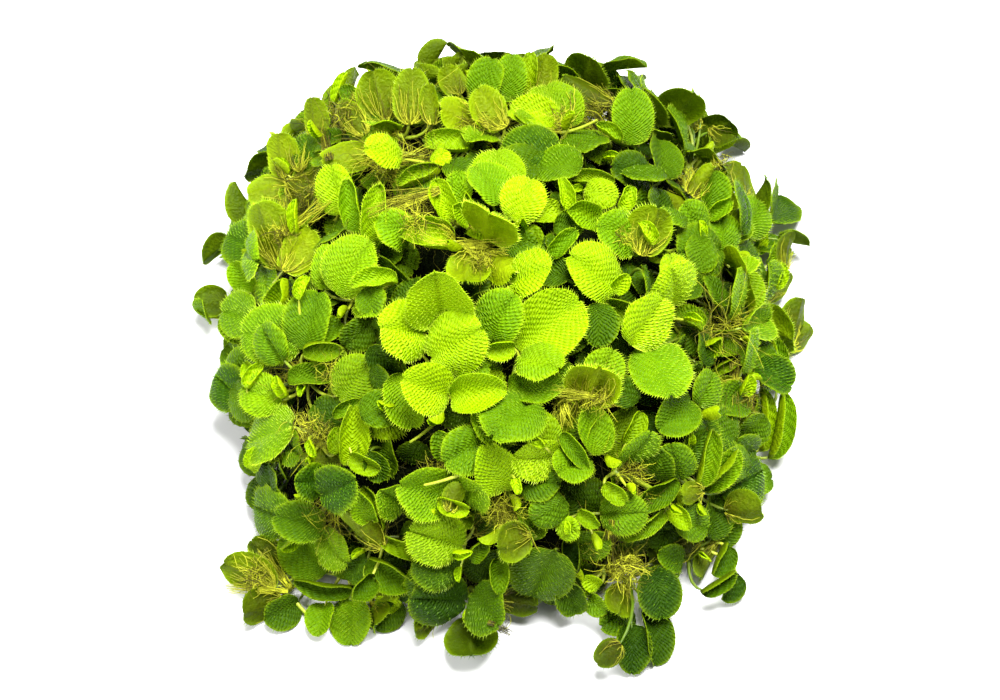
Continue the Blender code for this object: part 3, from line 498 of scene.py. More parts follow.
def leaf_finish():
    """Short raised strokes in rows on top with painted shade in the hollows between them, crinkles
    and root stains below, and a paler margin.
    """
    made = Finish("leaf", LEAF_ROUGHNESS, LEAF_GLOSS)
    under = made.mark("under")
    row = made.varied(made.mark("row"), made.noise(*ROW_GRAIN), ROW_WOBBLE)
    stroke = made.scaled(made.math("FLOOR", row), STROKE_OFFSET, made.mark("stroke"))
    ridge, dash = [made.scaled(made.math("COSINE", made.math("MULTIPLY", count, math.tau)),
                               -0.5, 0.5) for count in (row, stroke)]
    relief = made.math("MULTIPLY", ridge, made.scaled(dash, STROKE_DEPTH, 1 - STROKE_DEPTH))
    crinkle = made.noise(*CRINKLE_GRAIN)
    tint = made.varied(made.mark("tint"), made.noise(*MOTTLE_GRAIN), MOTTLE)
    top = made.ramp(tint, (0.0, LEAF_DEEP), (0.5, LEAF_GREEN), (1.0, LEAF_YELLOW))
    # Painted shade: the hollows between the raised strokes are darkened towards deep green, less so
    # on yellow leaves.
    painted_hollow_shade = made.math("MULTIPLY", made.math("SUBTRACT", 1.0, relief),
                       made.scaled(tint, HOLLOW_SHADE_FALL, HOLLOW_SHADE))
    top = made.mix(painted_hollow_shade, top, LEAF_DEEP)
    below = made.ramp(made.varied(tint, crinkle, CRINKLE_MOTTLE),
                      (0.0, UNDER_DEEP), (0.5, UNDER_GREEN), (1.0, UNDER_YELLOW))
    stain = made.math("MULTIPLY", made.mark("brown"),
                      made.scaled(made.noise(*STAIN_GRAIN), STAIN_SPREAD, STAIN_FROM), clamp=True)
    below = made.mix(stain, below, UNDER_BROWN)
    margin = made.math("MULTIPLY", made.math("POWER", made.mark("across"), MARGIN_SHARPNESS),
                       MARGIN_PALENESS)
    colour = made.paint(made.mix(margin, made.mix(under, top, below), LEAF_YELLOW))
    relief = made.math("MULTIPLY", relief, made.scaled(under, STROKES_BELOW, 1.0))
    crinkle = made.math("MULTIPLY", crinkle,
                        made.scaled(under, MORE_CRINKLE_BELOW, CRINKLE_ON_TOP))
    normal = made.bump(made.math("ADD", relief, crinkle), RELIEF_HEIGHT, RELIEF_STRENGTH)
    made.see_through(made.mix(LEAF_GLOW_YELLOW, colour, LEAF_YELLOW), LEAF_GLOW, normal)
    return made.material


def hair_finish():
    """Fine hairs: pale, and brighter on bright leaves, as they take their leaf's tint and painted
    shade.
    """
    made = Finish("hair", HAIR_ROUGHNESS, HAIR_GLOSS)
    colour = made.paint(made.ramp(made.mark("tint"), (0.0, HAIR_GREEN), (1.0, HAIR_PALE)))
    made.see_through(colour, HAIR_GLOW)
    return made.material


finishes["Leaf"] = leaf_finish()
finishes["Hair"] = hair_finish()

MM = 0.001
BASE_ANGLE = 0.07
TIP_ANGLE = 0.985
ROWS_CURVE = 2.1
FIRST_ROW, ROWS_SPAN = 0.01, 0.97
ROW_SAG = 0.012
OUTLINE_REACH = 0.52
OUTLINE_WIDER = 1.06
OUTLINE_ROUNDNESS = 0.9
BASE_NOTCH, BASE_NOTCH_ANGLE = 0.10, 0.32
TIP_NOTCH, TIP_NOTCH_ANGLE = 0.03, 0.2
DROOP_FROM = 0.45
RIPPLES = 5
WRINKLE, WRINKLE_SCALE = 0.05, 240
FLAT_BULGE, CUPPED_BULGE = 0.10, 0.12
CUPPED_FROM, CUPPED_SPAN = 0.25, 0.6
LEAF_THICKNESS = 0.00036
RIM_THICKNESS = 0.00018
ROW_GAP = 0.00070
STROKE_GAP = 0.00095
MIDRIB_TO_ROWS = 1.25
FEWEST_ROWS = 6
STAIN_LENGTH, STAIN_WIDTH = 0.7, 0.9
HAIR_LENGTH = 0.00084
HAIRS_PER_STROKE = 0.75
HAIRY_FROM, HAIRY_TO = 0.12, 0.97
SHORTEST_HAIR, HAIR_GROWTH = 0.3, 0.07
HAIR_SIZES, HAIR_LIFTS = (0.7, 1.1), (0.35, 0.8)
TOOTH_LENGTH = 0.00098
TEETH_PER_ROW = 1.5
TOOTH_TINT = 0.25
TOOTH_SIZES, TOOTH_LIFTS = (0.75, 1.2), (-0.1, 0.5)
GROUND_CLEARANCE = 0.0006
LARGE_LEAF = 9
MIDDLING_LEAF = 6
BROWN_SHARE = 0.3

Blade = namedtuple("Blade", "leaf bulge droop curl ripple phase twist rows strokes")


def within(value, low=0, high=1):
    return min(max(value, low), high)


def blade_of(leaf, chance):
    """A leaf with how it bulges, droops and ripples. Flat leaves are puffed up, others cupped."""
    cupped = within((leaf.fold - CUPPED_FROM) / CUPPED_SPAN)
    bulge = leaf.width * (FLAT_BULGE * (1 - cupped) - CUPPED_BULGE * cupped)
    return Blade(leaf, bulge * chance.uniform(0.5, 1.6), droop=chance.uniform(-0.02, 0.08),
                 curl=chance.gauss(-0.01, 0.04), ripple=chance.uniform(0.006, 0.034),
                 phase=chance.uniform(0, 9), twist=chance.uniform(-0.14, 0.14),
                 rows=max(FEWEST_ROWS, round(leaf.length * MIDRIB_TO_ROWS / ROW_GAP)),
                 strokes=leaf.width / 2 / STROKE_GAP)


def blade_place(blade, row, step, side):
    """A place on a blade's middle surface: row from its base 0 to its tip 1, step from its midrib 0
    to its margin 1, on the side 1 or -1. Also which way is up there, and outward along the row."""
    leaf = blade.leaf
    angle = math.pi * (BASE_ANGLE + (TIP_ANGLE - BASE_ANGLE) * row)
    notch = 1 - BASE_NOTCH * math.exp(-(angle / BASE_NOTCH_ANGLE) ** 2)
    notch -= TIP_NOTCH * math.exp(-((math.pi - angle) / TIP_NOTCH_ANGLE) ** 2)
    edge_along = leaf.length * (0.5 - OUTLINE_REACH * math.cos(angle) * notch)
    edge_across = leaf.width / 2 * OUTLINE_WIDER * math.sin(angle) ** OUTLINE_ROUNDNESS * notch
    start = leaf.length * (FIRST_ROW + ROWS_SPAN * row ** ROWS_CURVE)
    along = start + (edge_along - start) * step
    along -= ROW_SAG * leaf.length * math.sin(math.pi * step)
    fold = leaf.fold + blade.twist * side * (row - 0.5)
    out = leaf.across * (side * math.cos(fold)) + leaf.normal * math.sin(fold)
    up = leaf.normal * math.cos(fold) - leaf.across * (side * math.sin(fold))
    part = along / leaf.length - DROOP_FROM
    height = blade.bulge * math.sin(math.pi * min(step, 1) ** 0.75) * math.sin(angle) ** 0.5
    height += blade.curl * leaf.width * step ** 3
    wave = math.sin(RIPPLES * angle + blade.phase + side)
    height += blade.ripple * leaf.width * step * step * wave
    place = leaf.base + leaf.along * along + out * (edge_across * step) + up * height
    place += up * (noise.noise(place * WRINKLE_SCALE) * WRINKLE * leaf.width * step)
    place -= leaf.normal * (blade.droop * leaf.length * part * part * 4)
    outward = (out * edge_across + leaf.along * (edge_along - start)).normalized()
    return place, up, outward


def keep_off_ground(place):
    place.z = max(place.z, GROUND_CLEARANCE)
    return place


def add_blade(growth, blade, rows, steps, shade, tint, brown):
    """The faces of a leaf."""
    grid = {}
    for row in range(rows + 1):
        for step in range(-steps, steps + 1):
            part = math.sin(math.pi / 2 * abs(step) / steps)
            place, up, _ = blade_place(blade, row / rows, part, 1 if step > 0 else -1)
            if step == 0:
                up = blade.leaf.normal
            keep_off_ground(place)
            half = (LEAF_THICKNESS + (RIM_THICKNESS - LEAF_THICKNESS) * part) / 2
            stain = brown * math.exp(-row / rows / STAIN_LENGTH - (part / STAIN_WIDTH) ** 2)
            for under in (0, 1):
                grid[under, row, step] = growth.point(
                    place + up * (-half if under else half), LEAF, shade=shade, tint=tint,
                    across=part, under=under, row=row / rows * blade.rows,
                    stroke=part * blade.strokes, brown=stain * under)

    def quad(*keys, turned=False, wall=False):
        corners = [grid[key] for key in keys]
        growth.face(corners[::-1] if turned else corners, wall)

    for row in range(rows):
        for step in range(-steps, steps):
            for under in (0, 1):
                quad((under, row, step), (under, row + 1, step), (under, row + 1, step + 1),
                     (under, row, step + 1), turned=under == 1)
        for edge in (steps, -steps):
            quad((0, row, edge), (0, row + 1, edge), (1, row + 1, edge), (1, row, edge),
                 turned=edge < 0, wall=True)
    for row in (0, rows):
        for step in range(-steps, steps):
            quad((0, row, step), (0, row, step + 1), (1, row, step + 1), (1, row, step),
                 turned=row > 0, wall=True)


def add_hairs(growth, blade, shade, tint, chance, every):
    """Hairs that lean outward along the rows of a leaf's top, and pale teeth along its margin."""
    steps = max(2, round(blade.strokes * HAIRS_PER_STROKE / every))
    fine = min(1, SHORTEST_HAIR + HAIR_GROWTH * blade.leaf.width / MM)
    for count in range(0, blade.rows, every):
        for side in (1, -1):
            for step in range(steps):
                part = step + 0.5 + 0.5 * (count // every % 2) + chance.uniform(-0.2, 0.2)
                part /= steps + 0.5
                if part < HAIRY_FROM or part > HAIRY_TO:
                    continue
                place, up, outward = blade_place(blade, (count + 0.5) / blade.rows, part, side)
                if place.z < 2 * GROUND_CLEARANCE:
                    continue
                growth.point(place + up * (LEAF_THICKNESS * 0.4), HAIR,
                             HAIR_LENGTH * fine * chance.uniform(*HAIR_SIZES),
                             outward + up * chance.uniform(*HAIR_LIFTS), shade=shade, tint=tint)
    teeth = round(blade.rows * TEETH_PER_ROW / every)
    for count in range(teeth):
        for side in (1, -1):
            row = (count + chance.uniform(0.3, 0.7)) / teeth
            place, up, outward = blade_place(blade, row, 1, side)
            if place.z < 2 * GROUND_CLEARANCE:
                continue
            growth.point(place - outward * (TOOTH_LENGTH * 0.2), HAIR,
                         TOOTH_LENGTH * fine * chance.uniform(*TOOTH_SIZES),
                         outward + up * chance.uniform(*TOOTH_LIFTS), shade=shade,
                         tint=min(tint + TOOTH_TINT, 1))


def add_leaf(growth, leaf, chance, shade, tint, brown=BROWN_SHARE, every=1, coarse=False):
    """A whole leaf, its mesh as fine as its size asks, with hairs on one row in every so many."""
    blade = blade_of(leaf, chance)
    size = leaf.width / MM
    rows = 8 if coarse else 12 if size > LARGE_LEAF else 10 if size > MIDDLING_LEAF else 7
    steps = 3 if coarse or size < MIDDLING_LEAF else 5 if size > LARGE_LEAF else 4
    add_blade(growth, blade, rows, steps, shade, tint, brown)
    if every:
        add_hairs(growth, blade, shade, tint, chance, every)
    return blade


# Stems, petioles and fine roots. A petiole runs from the joint to the leaf's base, and roots hang
# from each joint into the tangle. A tuft that shows between the leaves is a spray of fine threads,
# and more of them lie on the undersides that are turned outward.
ROOT_DARK = (0.014, 0.013, 0.002, 1)
ROOT_OLIVE = (0.115, 0.110, 0.004, 1)
ROOT_YELLOW = (0.580, 0.610, 0.025, 1)
STEM_GREEN = (0.200, 0.380, 0.006, 1)
STEM_YELLOW = (0.620, 0.700, 0.040, 1)
CORE_BLACK = (0.001, 0.002, 0.0005, 1)
CORE_DARK = (0.006, 0.010, 0.001, 1)
CORE_OLIVE = (0.030, 0.038, 0.002, 1)
ROOT_GRAIN, ROOT_MOTTLE = (900, 3), 0.5
ROOT_RELIEF_GRAIN, ROOT_RELIEF = (5200, 2), 0.00008
STEM_GRAIN, STEM_MOTTLE = (700, 2), 0.4
STEM_RELIEF_GRAIN, STEM_RELIEF = (3000, 2), 0.00010
STEM_GLOW = 0.2
CORE_GRAIN, CORE_RELIEF = (1500, 6), 0.0012
PETIOLE_RADIUS = 0.00036
PETIOLE_TAPER = (1.5, 1.2, 1, 1, 0.9, 0.5)
PETIOLE_INTO_LEAF, PETIOLE_UNDER_LEAF = 0.08, 0.0002
PETIOLE_RUN, PETIOLE_BEND = 0.4, 0.3
STEM_RADIUS = 0.00065
STEM_POINTS = 8
STEM_BEND = 0.0007
JOINT_SWELL = ((-0.8, 0.25), (-0.4, 0.6), (0, 0.75), (0.4, 0.6), (0.8, 0.25))
ROOT_RADIUS = 0.00007
ROOT_TAPER = 0.6
TURN_KEPT, TURN_ADDED = 0.7, 0.6
ROOTS_PER_MM = 42
TUFT_ROOT_POINTS = 8
TUFT_ROOT_SIZES = (0.7, 1.3)
TUFT_SHADES = (0.7, 1.2)
LONG_ROOT_SHARE, LONG_ROOT_CURL, LONG_ROOT_REACH = 0.35, 0.25, (0.6, 1.1)
SHORT_ROOT_CURL, SHORT_ROOT_REACH = 0.6, (0.3, 0.6)
PALE_ROOT_SHARE, PALER, LESS_PALE = 0.4, (0.1, 0.5), (-0.35, 0.05)
HANGING_ROOTS = 9
HANGING_POINTS, HANGING_CURL, HANGING_REACH = 6, 0.3, (0.005, 0.010)
HANGING_SIZES, HANGING_SHADE, HANGING_TINTS = (0.9, 1.4), 0.7, (0.15, 0.75)
UNDERSIDE_ROOTS = 20
LYING_POINTS = 7
LYING_SIZES = (0.9, 2.2)
LYING_LIFT = (0.0003, 0.0009)
LYING_TINTS = (0.45, 0.8, 1.0, 1.15, 1.3)


def root_finish():
    """Fine roots, from nearly black to straw yellow."""
    made = Finish("root", roughness=0.55, gloss=0.2)
    tint = made.varied(made.mark("tint"), made.noise(*ROOT_GRAIN), ROOT_MOTTLE)
    made.paint(made.ramp(tint, (0.0, ROOT_DARK), (0.45, ROOT_OLIVE), (1.0, ROOT_YELLOW)))
    made.bump(made.noise(*ROOT_RELIEF_GRAIN), ROOT_RELIEF)
    return made.material


def stem_finish():
    """Stems and petioles: smooth and yellow green."""
    made = Finish("stem", roughness=0.4, gloss=0.5)
    tint = made.varied(made.mark("tint"), made.noise(*STEM_GRAIN), STEM_MOTTLE)
    colour = made.paint(made.ramp(tint, (0.0, STEM_GREEN), (1.0, STEM_YELLOW)))
    made.bump(made.noise(*STEM_RELIEF_GRAIN), STEM_RELIEF)
    made.see_through(colour, STEM_GLOW)
    return made.material


def core_finish():
    """The tangle's matted core: dark fibres packed together, near black, partly their own dark
    colour and partly painted shade of the deep gaps between the leaves.
    """
    made = Finish("matted_roots", roughness=0.9, gloss=0.05)
    fibres = made.noise(*CORE_GRAIN)
    made.feed("Base Color",
              made.ramp(fibres, (0.3, CORE_BLACK), (0.6, CORE_DARK), (0.8, CORE_OLIVE)))
    made.bump(fibres, CORE_RELIEF)
    return made.material


finishes["Root"] = root_finish()
finishes["Stem"] = stem_finish()
finishes["Core"] = core_finish()


def curve_points(start, middle, end, count):
    """Points of a smooth curve that leaves start towards middle and comes to end."""
    points = []
    for index in range(count):
        part = index / (count - 1)
        points.append(start * (1 - part) ** 2 + middle * (2 * part * (1 - part)) + end * part ** 2)
    return points


def stray(chance, amount):
    return Vector([chance.gauss(0, amount) for _ in range(3)])


def add_petiole(growth, leaf, shade, tint):
    end = leaf.base + leaf.along * (leaf.length * PETIOLE_INTO_LEAF)
    end -= leaf.normal * PETIOLE_UNDER_LEAF
    middle = leaf.base - leaf.along * ((leaf.base - leaf.root).length * PETIOLE_RUN)
    middle = middle.lerp(leaf.root, PETIOLE_BEND)
    places = curve_points(leaf.root, middle, end, len(PETIOLE_TAPER))
    growth.line(places, [PETIOLE_RADIUS * size for size in PETIOLE_TAPER], STEM, shade, tint)


def add_stem(growth, first, second, shade, tint, chance):
    middle = (first + second) / 2 + stray(chance, STEM_BEND)
    places = curve_points(first, middle, second, STEM_POINTS)
    growth.line(places, [STEM_RADIUS] * STEM_POINTS, STEM, shade, tint)


def add_joint(growth, joint, shade, tint):
    out = (joint - CLUMP_MIDDLE).normalized()
    places = [joint + out * (JOINT_RADIUS * part) for part, _ in JOINT_SWELL]
    growth.line(places, [JOINT_RADIUS * size for _, size in JOINT_SWELL], STEM, shade, tint)


def wander(start, heading, length, count, curl, chance):
    """Points of a root that wanders off in a heading, always turning."""
    places = [start]
    turn = stray(chance, curl)
    for _ in range(count - 1):
        turn = turn * TURN_KEPT + stray(chance, curl * TURN_ADDED)
        heading = (heading + turn).normalized()
        places.append(keep_off_ground(places[-1] + heading * (length / (count - 1))))
    return places


def add_root(growth, places, size, shade, tint):
    count = len(places)
    sizes = [ROOT_RADIUS * size * (1 - ROOT_TAPER * index / count) for index in range(count)]
    growth.line(places, sizes, ROOT, shade, tint)


def add_tuft(growth, tuft, shade, tint, chance):
    """A mat of curled roots in the space that its solid holds, with some longer ones."""
    axis = (tuft.tip - tuft.root).normalized()
    length = (tuft.tip - tuft.root).length
    for _ in range(round(tuft.radius / MM * ROOTS_PER_MM)):
        aside = square_to(axis, stray(chance, 1))
        spread = tuft.radius * math.sqrt(chance.uniform(0, 1))
        if chance.random() < LONG_ROOT_SHARE:
            start = tuft.root + aside * 0.0004
            heading = (tuft.belly + aside * spread - start).normalized()
            reach, curl = length * chance.uniform(*LONG_ROOT_REACH), LONG_ROOT_CURL
        else:
            start = tuft.root.lerp(tuft.tip, chance.uniform(0.1, 0.7)) + aside * (spread * 0.8)
            heading = (axis + stray(chance, 0.8)).normalized()
            reach, curl = length * chance.uniform(*SHORT_ROOT_REACH), SHORT_ROOT_CURL
        pale = chance.random() < PALE_ROOT_SHARE
        places = wander(start, heading, reach, TUFT_ROOT_POINTS, curl, chance)
        add_root(growth, places, chance.uniform(*TUFT_ROOT_SIZES),
                 shade * chance.uniform(*TUFT_SHADES),
                 tint + chance.uniform(*(PALER if pale else LESS_PALE)))


def add_hanging_roots(growth, joint, chance):
    """Roots from a joint down into the tangle."""
    inward = (CLUMP_MIDDLE - joint).normalized()
    for _ in range(HANGING_ROOTS):
        heading = (inward + stray(chance, 0.4)).normalized()
        reach = chance.uniform(*HANGING_REACH)
        places = wander(joint, heading, reach, HANGING_POINTS, HANGING_CURL, chance)
        add_root(growth, places, chance.uniform(*HANGING_SIZES), HANGING_SHADE,
                 chance.uniform(*HANGING_TINTS))


def add_lying_roots(growth, blade, face, count, shade, chance):
    """Roots that spread from a leaf's base, on its top where face is 1 and below where it is -1."""
    for _ in range(count):
        row, step = chance.uniform(0.0, 0.12), chance.uniform(0, 0.3)
        side = chance.choice((1, -1))
        rise, widen = chance.uniform(0.02, 0.12), chance.uniform(-0.04, 0.12)
        lift = chance.uniform(*LYING_LIFT)
        places = []
        for _ in range(LYING_POINTS):
            place, up, _ = blade_place(blade, min(row, 1), within(step, 0, 0.95), side)
            places.append(keep_off_ground(place + up * (face * lift)))
            row += rise * chance.uniform(0.3, 1.5)
            step += widen + chance.uniform(-0.10, 0.10)
            lift *= chance.uniform(0.8, 1.4)
        add_root(growth, places, chance.uniform(*LYING_SIZES), shade, chance.choice(LYING_TINTS))


# How bright a leaf is. The leaves on the middle of the top are the youngest and most yellow, and
# those at the sides are darker green: this fall in tint is partly the leaves' own colour and partly
# painted light. Leaves deeper in the clump, towards its front and rear rims and far from its middle
# get painted shade. The picture places name leaves that stand out from this, brighter or darker
# partly in colour and partly as painted light and shade.
BRIGHT_MIDDLE = Vector((0.0, -0.006, 0.050))
BRIGHT_REACH = 0.074
FARTHEST = 1.3
BRIGHT_LEAVES = [
    (384, 150), (455, 107), (530, 107), (437, 200), (425, 240), (475, 232), (500, 262), (525, 197),
    (405, 325), (455, 338), (432, 293), (530, 272), (560, 200), (598, 192), (672, 286), (645, 315),
    (612, 308), (545, 325), (595, 385), (477, 392), (430, 387), (540, 428), (533, 460), (490, 465),
    (430, 530), (452, 520), (355, 380), (365, 435), (385, 445), (320, 350), (265, 385), (600, 430),
    (625, 430), (640, 505), (655, 530), (682, 520), (620, 590), (710, 345), (760, 415), (285, 150),
    (290, 245), (300, 550), (345, 560), (365, 505), (340, 500), (350, 620), (350, 470), (260, 370),
    (320, 610), (255, 440), (340, 545), (375, 565), (435, 512), (370, 515), (560, 527), (245, 565),
    (420, 490), (590, 545), (650, 560), (400, 545),
]
DARK_LEAVES = [
    (672, 145), (700, 120), (595, 90), (620, 110), (530, 150), (555, 250), (490, 312), (605, 350),
    (430, 600), (480, 600), (530, 575), (570, 560), (655, 595), (625, 650), (225, 385), (560, 340),
    (740, 485), (750, 200), (690, 250), (330, 485), (300, 480), (715, 570), (790, 330), (660, 470),
    (360, 550), (400, 580), (470, 640), (500, 590),
]
STANDING_OUT = 18
BRIGHTER = 0.26
DARKER = 0.30
MIDDLE_TINT, EDGE_TINT_AND_LIGHT_FALL, YOUNG_TINT, TINT_STRAY = 0.66, 0.36, 0.30, 0.13
LEAST_TINT, MOST_TINT = 0.02, 0.94
YOUNG_FOLD, FULL_WIDTH, WIDTH_SPAN = 0.5, 0.0095, 0.004
OUTER_FROM, OUTER_SPAN = 0.002, 0.007
INNER_SHADE = 0.45
EDGE_SHADE = 0.10
FRONT_SHADE = 0.34
REAR_SHADE = 0.54
RIM_BRIGHTER = 0.6
CLUMP_DEPTH = 0.068


def picture_place(point):
    """Where in the picture a point is seen."""
    away = point - VIEW_POINT
    scale = VIEW_DISTANCE / away.dot(VIEW_FORWARD) / METRES_PER_PIXEL
    return VIEW_CENTRE_X + away.x * scale, VIEW_CENTRE_Y - away.dot(VIEW_UP) * scale


def picture_gap(point, listed):
    """How many pixels a point is from the nearest of the listed picture places."""
    x, y = picture_place(point)
    return min(math.hypot(x - listed_x, y - listed_y) for listed_x, listed_y in listed)


def middle_of(leaf):
    return leaf.base + leaf.along * (leaf.length / 2)


def leaf_looks(leaf, chance):
    """A leaf's painted shade, and its tint, which is partly painted light."""
    middle = middle_of(leaf)
    far = min((middle - BRIGHT_MIDDLE).length / BRIGHT_REACH, FARTHEST)
    young = within((leaf.fold - YOUNG_FOLD) / YOUNG_FOLD)
    young *= within((FULL_WIDTH - leaf.width) / WIDTH_SPAN)
    tint = MIDDLE_TINT - EDGE_TINT_AND_LIGHT_FALL * far ** 1.6 + YOUNG_TINT * young
    tint += chance.gauss(0, TINT_STRAY)
    bright, dark = [within(2 - 2 / STANDING_OUT * picture_gap(middle, listed))
                    for listed in (BRIGHT_LEAVES, DARK_LEAVES)]
    tint += BRIGHTER * bright - DARKER * dark
    # Painted shade: darker deeper in the clump, towards the front and rear rims, and far from the
    # bright middle.
    outer = within((height_over_tangle(middle) - OUTER_FROM) / OUTER_SPAN)
    rim_shade = min(abs(middle.y) / CLUMP_DEPTH, 1) ** 2 * (REAR_SHADE if middle.y > 0 else FRONT_SHADE)
    rim_shade *= 1 - RIM_BRIGHTER * bright
    shade = (INNER_SHADE + (1 - INNER_SHADE) * outer) * (1 - EDGE_SHADE * far ** 3 - rim_shade)
    return shade, within(tint, LEAST_TINT, MOST_TINT)


# Small leaves, most of them still folded, that stand between the larger ones on their own petioles:
# the picture places of base and tip, the width in millimetres and how far each is open in degrees.
SMALL_LEAVES = [
    (545, 447, 519, 428, 4, 50), (515, 478, 519, 494, 3, 60), (603, 160, 622, 158, 4, 40),
    (432, 155, 450, 162, 4, 120), (472, 149, 492, 154, 4, 40), (335, 105, 349, 69, 4.5, 60),
    (296, 235, 295, 196, 4.5, 45), (298, 300, 308, 276, 4.5, 60), (308, 440, 316, 457, 3, 60),
    (315, 414, 328, 413, 3, 60), (375, 600, 401, 605, 4.5, 120), (454, 553, 472, 552, 4, 40),
    (583, 573, 583, 541, 3.5, 40), (560, 520, 541, 510, 4.5, 100), (618, 484, 616, 466, 4, 90),
    (600, 562, 602, 541, 3, 60), (600, 586, 583, 578, 4, 100), (697, 468, 700, 443, 4.5, 150),
    (690, 445, 691, 434, 2.6, 60), (712, 320, 703, 293, 4.5, 80), (702, 242, 700, 220, 3, 60),
    (758, 255, 758, 226, 4.5, 80), (775, 290, 782, 262, 4.5, 80), (742, 395, 750, 375, 4.5, 80),
    (695, 158, 708, 157, 3, 60), (582, 190, 568, 192, 3.5, 60), (614, 292, 628, 274, 4.5, 100),
    (567, 535, 567, 521, 2.6, 50), (643, 175, 632, 175, 2.6, 50), (590, 455, 602, 418, 6, 80),
    (625, 445, 642, 412, 6, 60), (556, 462, 520, 455, 7, 110), (665, 478, 684, 447, 6, 60),
    (245, 388, 264, 364, 5, 60), (286, 398, 275, 376, 4, 60), (400, 158, 365, 148, 8, 150),
    (655, 245, 640, 222, 5, 60), (610, 205, 596, 186, 5, 90), (700, 350, 722, 338, 6, 80),
    (480, 478, 500, 452, 6, 70), (372, 520, 358, 492, 7, 90), (438, 500, 470, 510, 6, 60),
    (350, 455, 380, 470, 6, 70), (530, 555, 512, 540, 4, 60), (352, 598, 352, 646, 9, 165),
    (400, 600, 374, 630, 7, 150), (325, 603, 318, 636, 7, 120), (372, 578, 348, 600, 7, 100),
    (728, 545, 712, 575, 7, 90), (740, 575, 722, 600, 6, 120), (250, 470, 262, 448, 5, 90),
    (210, 320, 200, 300, 6, 120),
]
LEAF_LENGTH_TO_WIDTH = 1.15
LONGEST_LEAF = 1.5
SMALL_LEAF_LIFT = 0.0008
SMALL_LEAF_FLOOR = 0.002
LONGEST_PETIOLE = 0.016
SHUT = math.radians(58)
YOUNG_WIDTH = 0.0058
ALL_JOINTS = [(name, joint) for name in PLANT_NODES for joint in plants[name][0]]


def sight(pixel_x, pixel_y):
    """The direction in which a place of the picture is seen."""
    across = (pixel_x - VIEW_CENTRE_X) * METRES_PER_PIXEL
    up = (VIEW_CENTRE_Y - pixel_y) * METRES_PER_PIXEL
    return (VIEW_FORWARD * VIEW_DISTANCE + Vector((across, 0, 0)) + VIEW_UP * up).normalized()


def seen_at(way, distance):
    """The place at a distance along a line of sight."""
    return VIEW_POINT + way * distance


def distance_to(point, way):
    """How far along a line of sight a point lies."""
    return (point - VIEW_POINT).dot(way)


def joint_near_line(way):
    """The joint nearest to a line of sight."""
    return min((joint for _, joint in ALL_JOINTS),
               key=lambda joint: (joint - VIEW_POINT).cross(way).length)


def small_leaf(row):
    """A small leaf on what its lines of sight meet, with the plant that it grows from."""
    base_x, base_y, tip_x, tip_y, width, opening = row
    length = width * MM * LEAF_LENGTH_TO_WIDTH
    way = sight(base_x, base_y)
    place = plant_skins.ray_cast(VIEW_POINT, way)[0] or tangle_skin.ray_cast(VIEW_POINT, way)[0]
    if place is None:
        place = seen_at(way, distance_to(joint_near_line(way), way))
    name, root = min(ALL_JOINTS, key=lambda pair: (pair[1] - place).length)
    base = place - way * SMALL_LEAF_LIFT
    if base.z < SMALL_LEAF_FLOOR or (root - base).length > LONGEST_PETIOLE:
        return None
    way = sight(tip_x, tip_y)
    nearest = seen_at(way, distance_to(base, way))
    missing = length ** 2 - (nearest - base).length_squared
    tip = nearest - way * math.sqrt(missing) if missing > 0 else nearest
    along = (tip - base).normalized()
    length = min((tip - base).length, length * LONGEST_LEAF)
    normal = square_to(along, (base - CLUMP_MIDDLE).normalized() - way)
    return name, Leaf(root, base, along, normal.cross(along), normal, length, width * MM,
                      math.radians(180 - opening) / 2)


small_leaves = {name: [] for name in PLANT_NODES}
for carrier, young_leaf in filter(None, map(small_leaf, SMALL_LEAVES)):
    small_leaves[carrier].append(young_leaf)

# Buds: the youngest leaves of all, still shut, which stand on the joints wherever one has room.
# They are tried in several directions, each as a plain outline that mustn't touch a plant's solid.
BUD_TRIES = 10
BUD_REACH = 0.0042
BUD_WIDTHS = (0.0026, 0.0042)
BUD_FOLDS = (0.9, 1.35)
BUD_FLOOR = 0.004
BUD_ROOM = 0.004
PATCH_CORNERS = 8


def leaf_patch(leaf):
    """A plain outline of a leaf, to test whether it has room."""
    centre = middle_of(leaf)
    points = [centre]
    for k in range(PATCH_CORNERS):
        angle = math.tau * k / PATCH_CORNERS
        side = math.sin(angle)
        out = leaf.across * math.copysign(math.cos(leaf.fold), side)
        out += leaf.normal * math.sin(leaf.fold)
        points.append(centre - leaf.along * (leaf.length / 2 * math.cos(angle))
                      + out * (abs(side) * leaf.width / 2))
    return points, [(0, 1 + k, 1 + (k + 1) % PATCH_CORNERS) for k in range(PATCH_CORNERS)]


def bud_on(joint, chance):
    """A bud that grows from this joint without touching another leaf, or None."""
    outward = (joint - CLUMP_MIDDLE).normalized()
    for _ in range(BUD_TRIES):
        along = (outward + stray(chance, 0.6)).normalized()
        normal = along.cross(stray(chance, 1)).normalized()
        width = chance.uniform(*BUD_WIDTHS)
        base = joint + along * (BUD_REACH * chance.uniform(0.6, 1.3))
        bud = Leaf(joint, base, along, normal.cross(along), normal, width * 1.25, width,
                   chance.uniform(*BUD_FOLDS))
        start = joint + along * (1.6 * JOINT_RADIUS)
        free = plant_skins.ray_cast(start, along, BUD_ROOM)[0] is None
        patch = BVHTree.FromPolygons(*leaf_patch(bud))
        if free and base.z > BUD_FLOOR and not patch.overlap(plant_skins):
            return bud
    return None


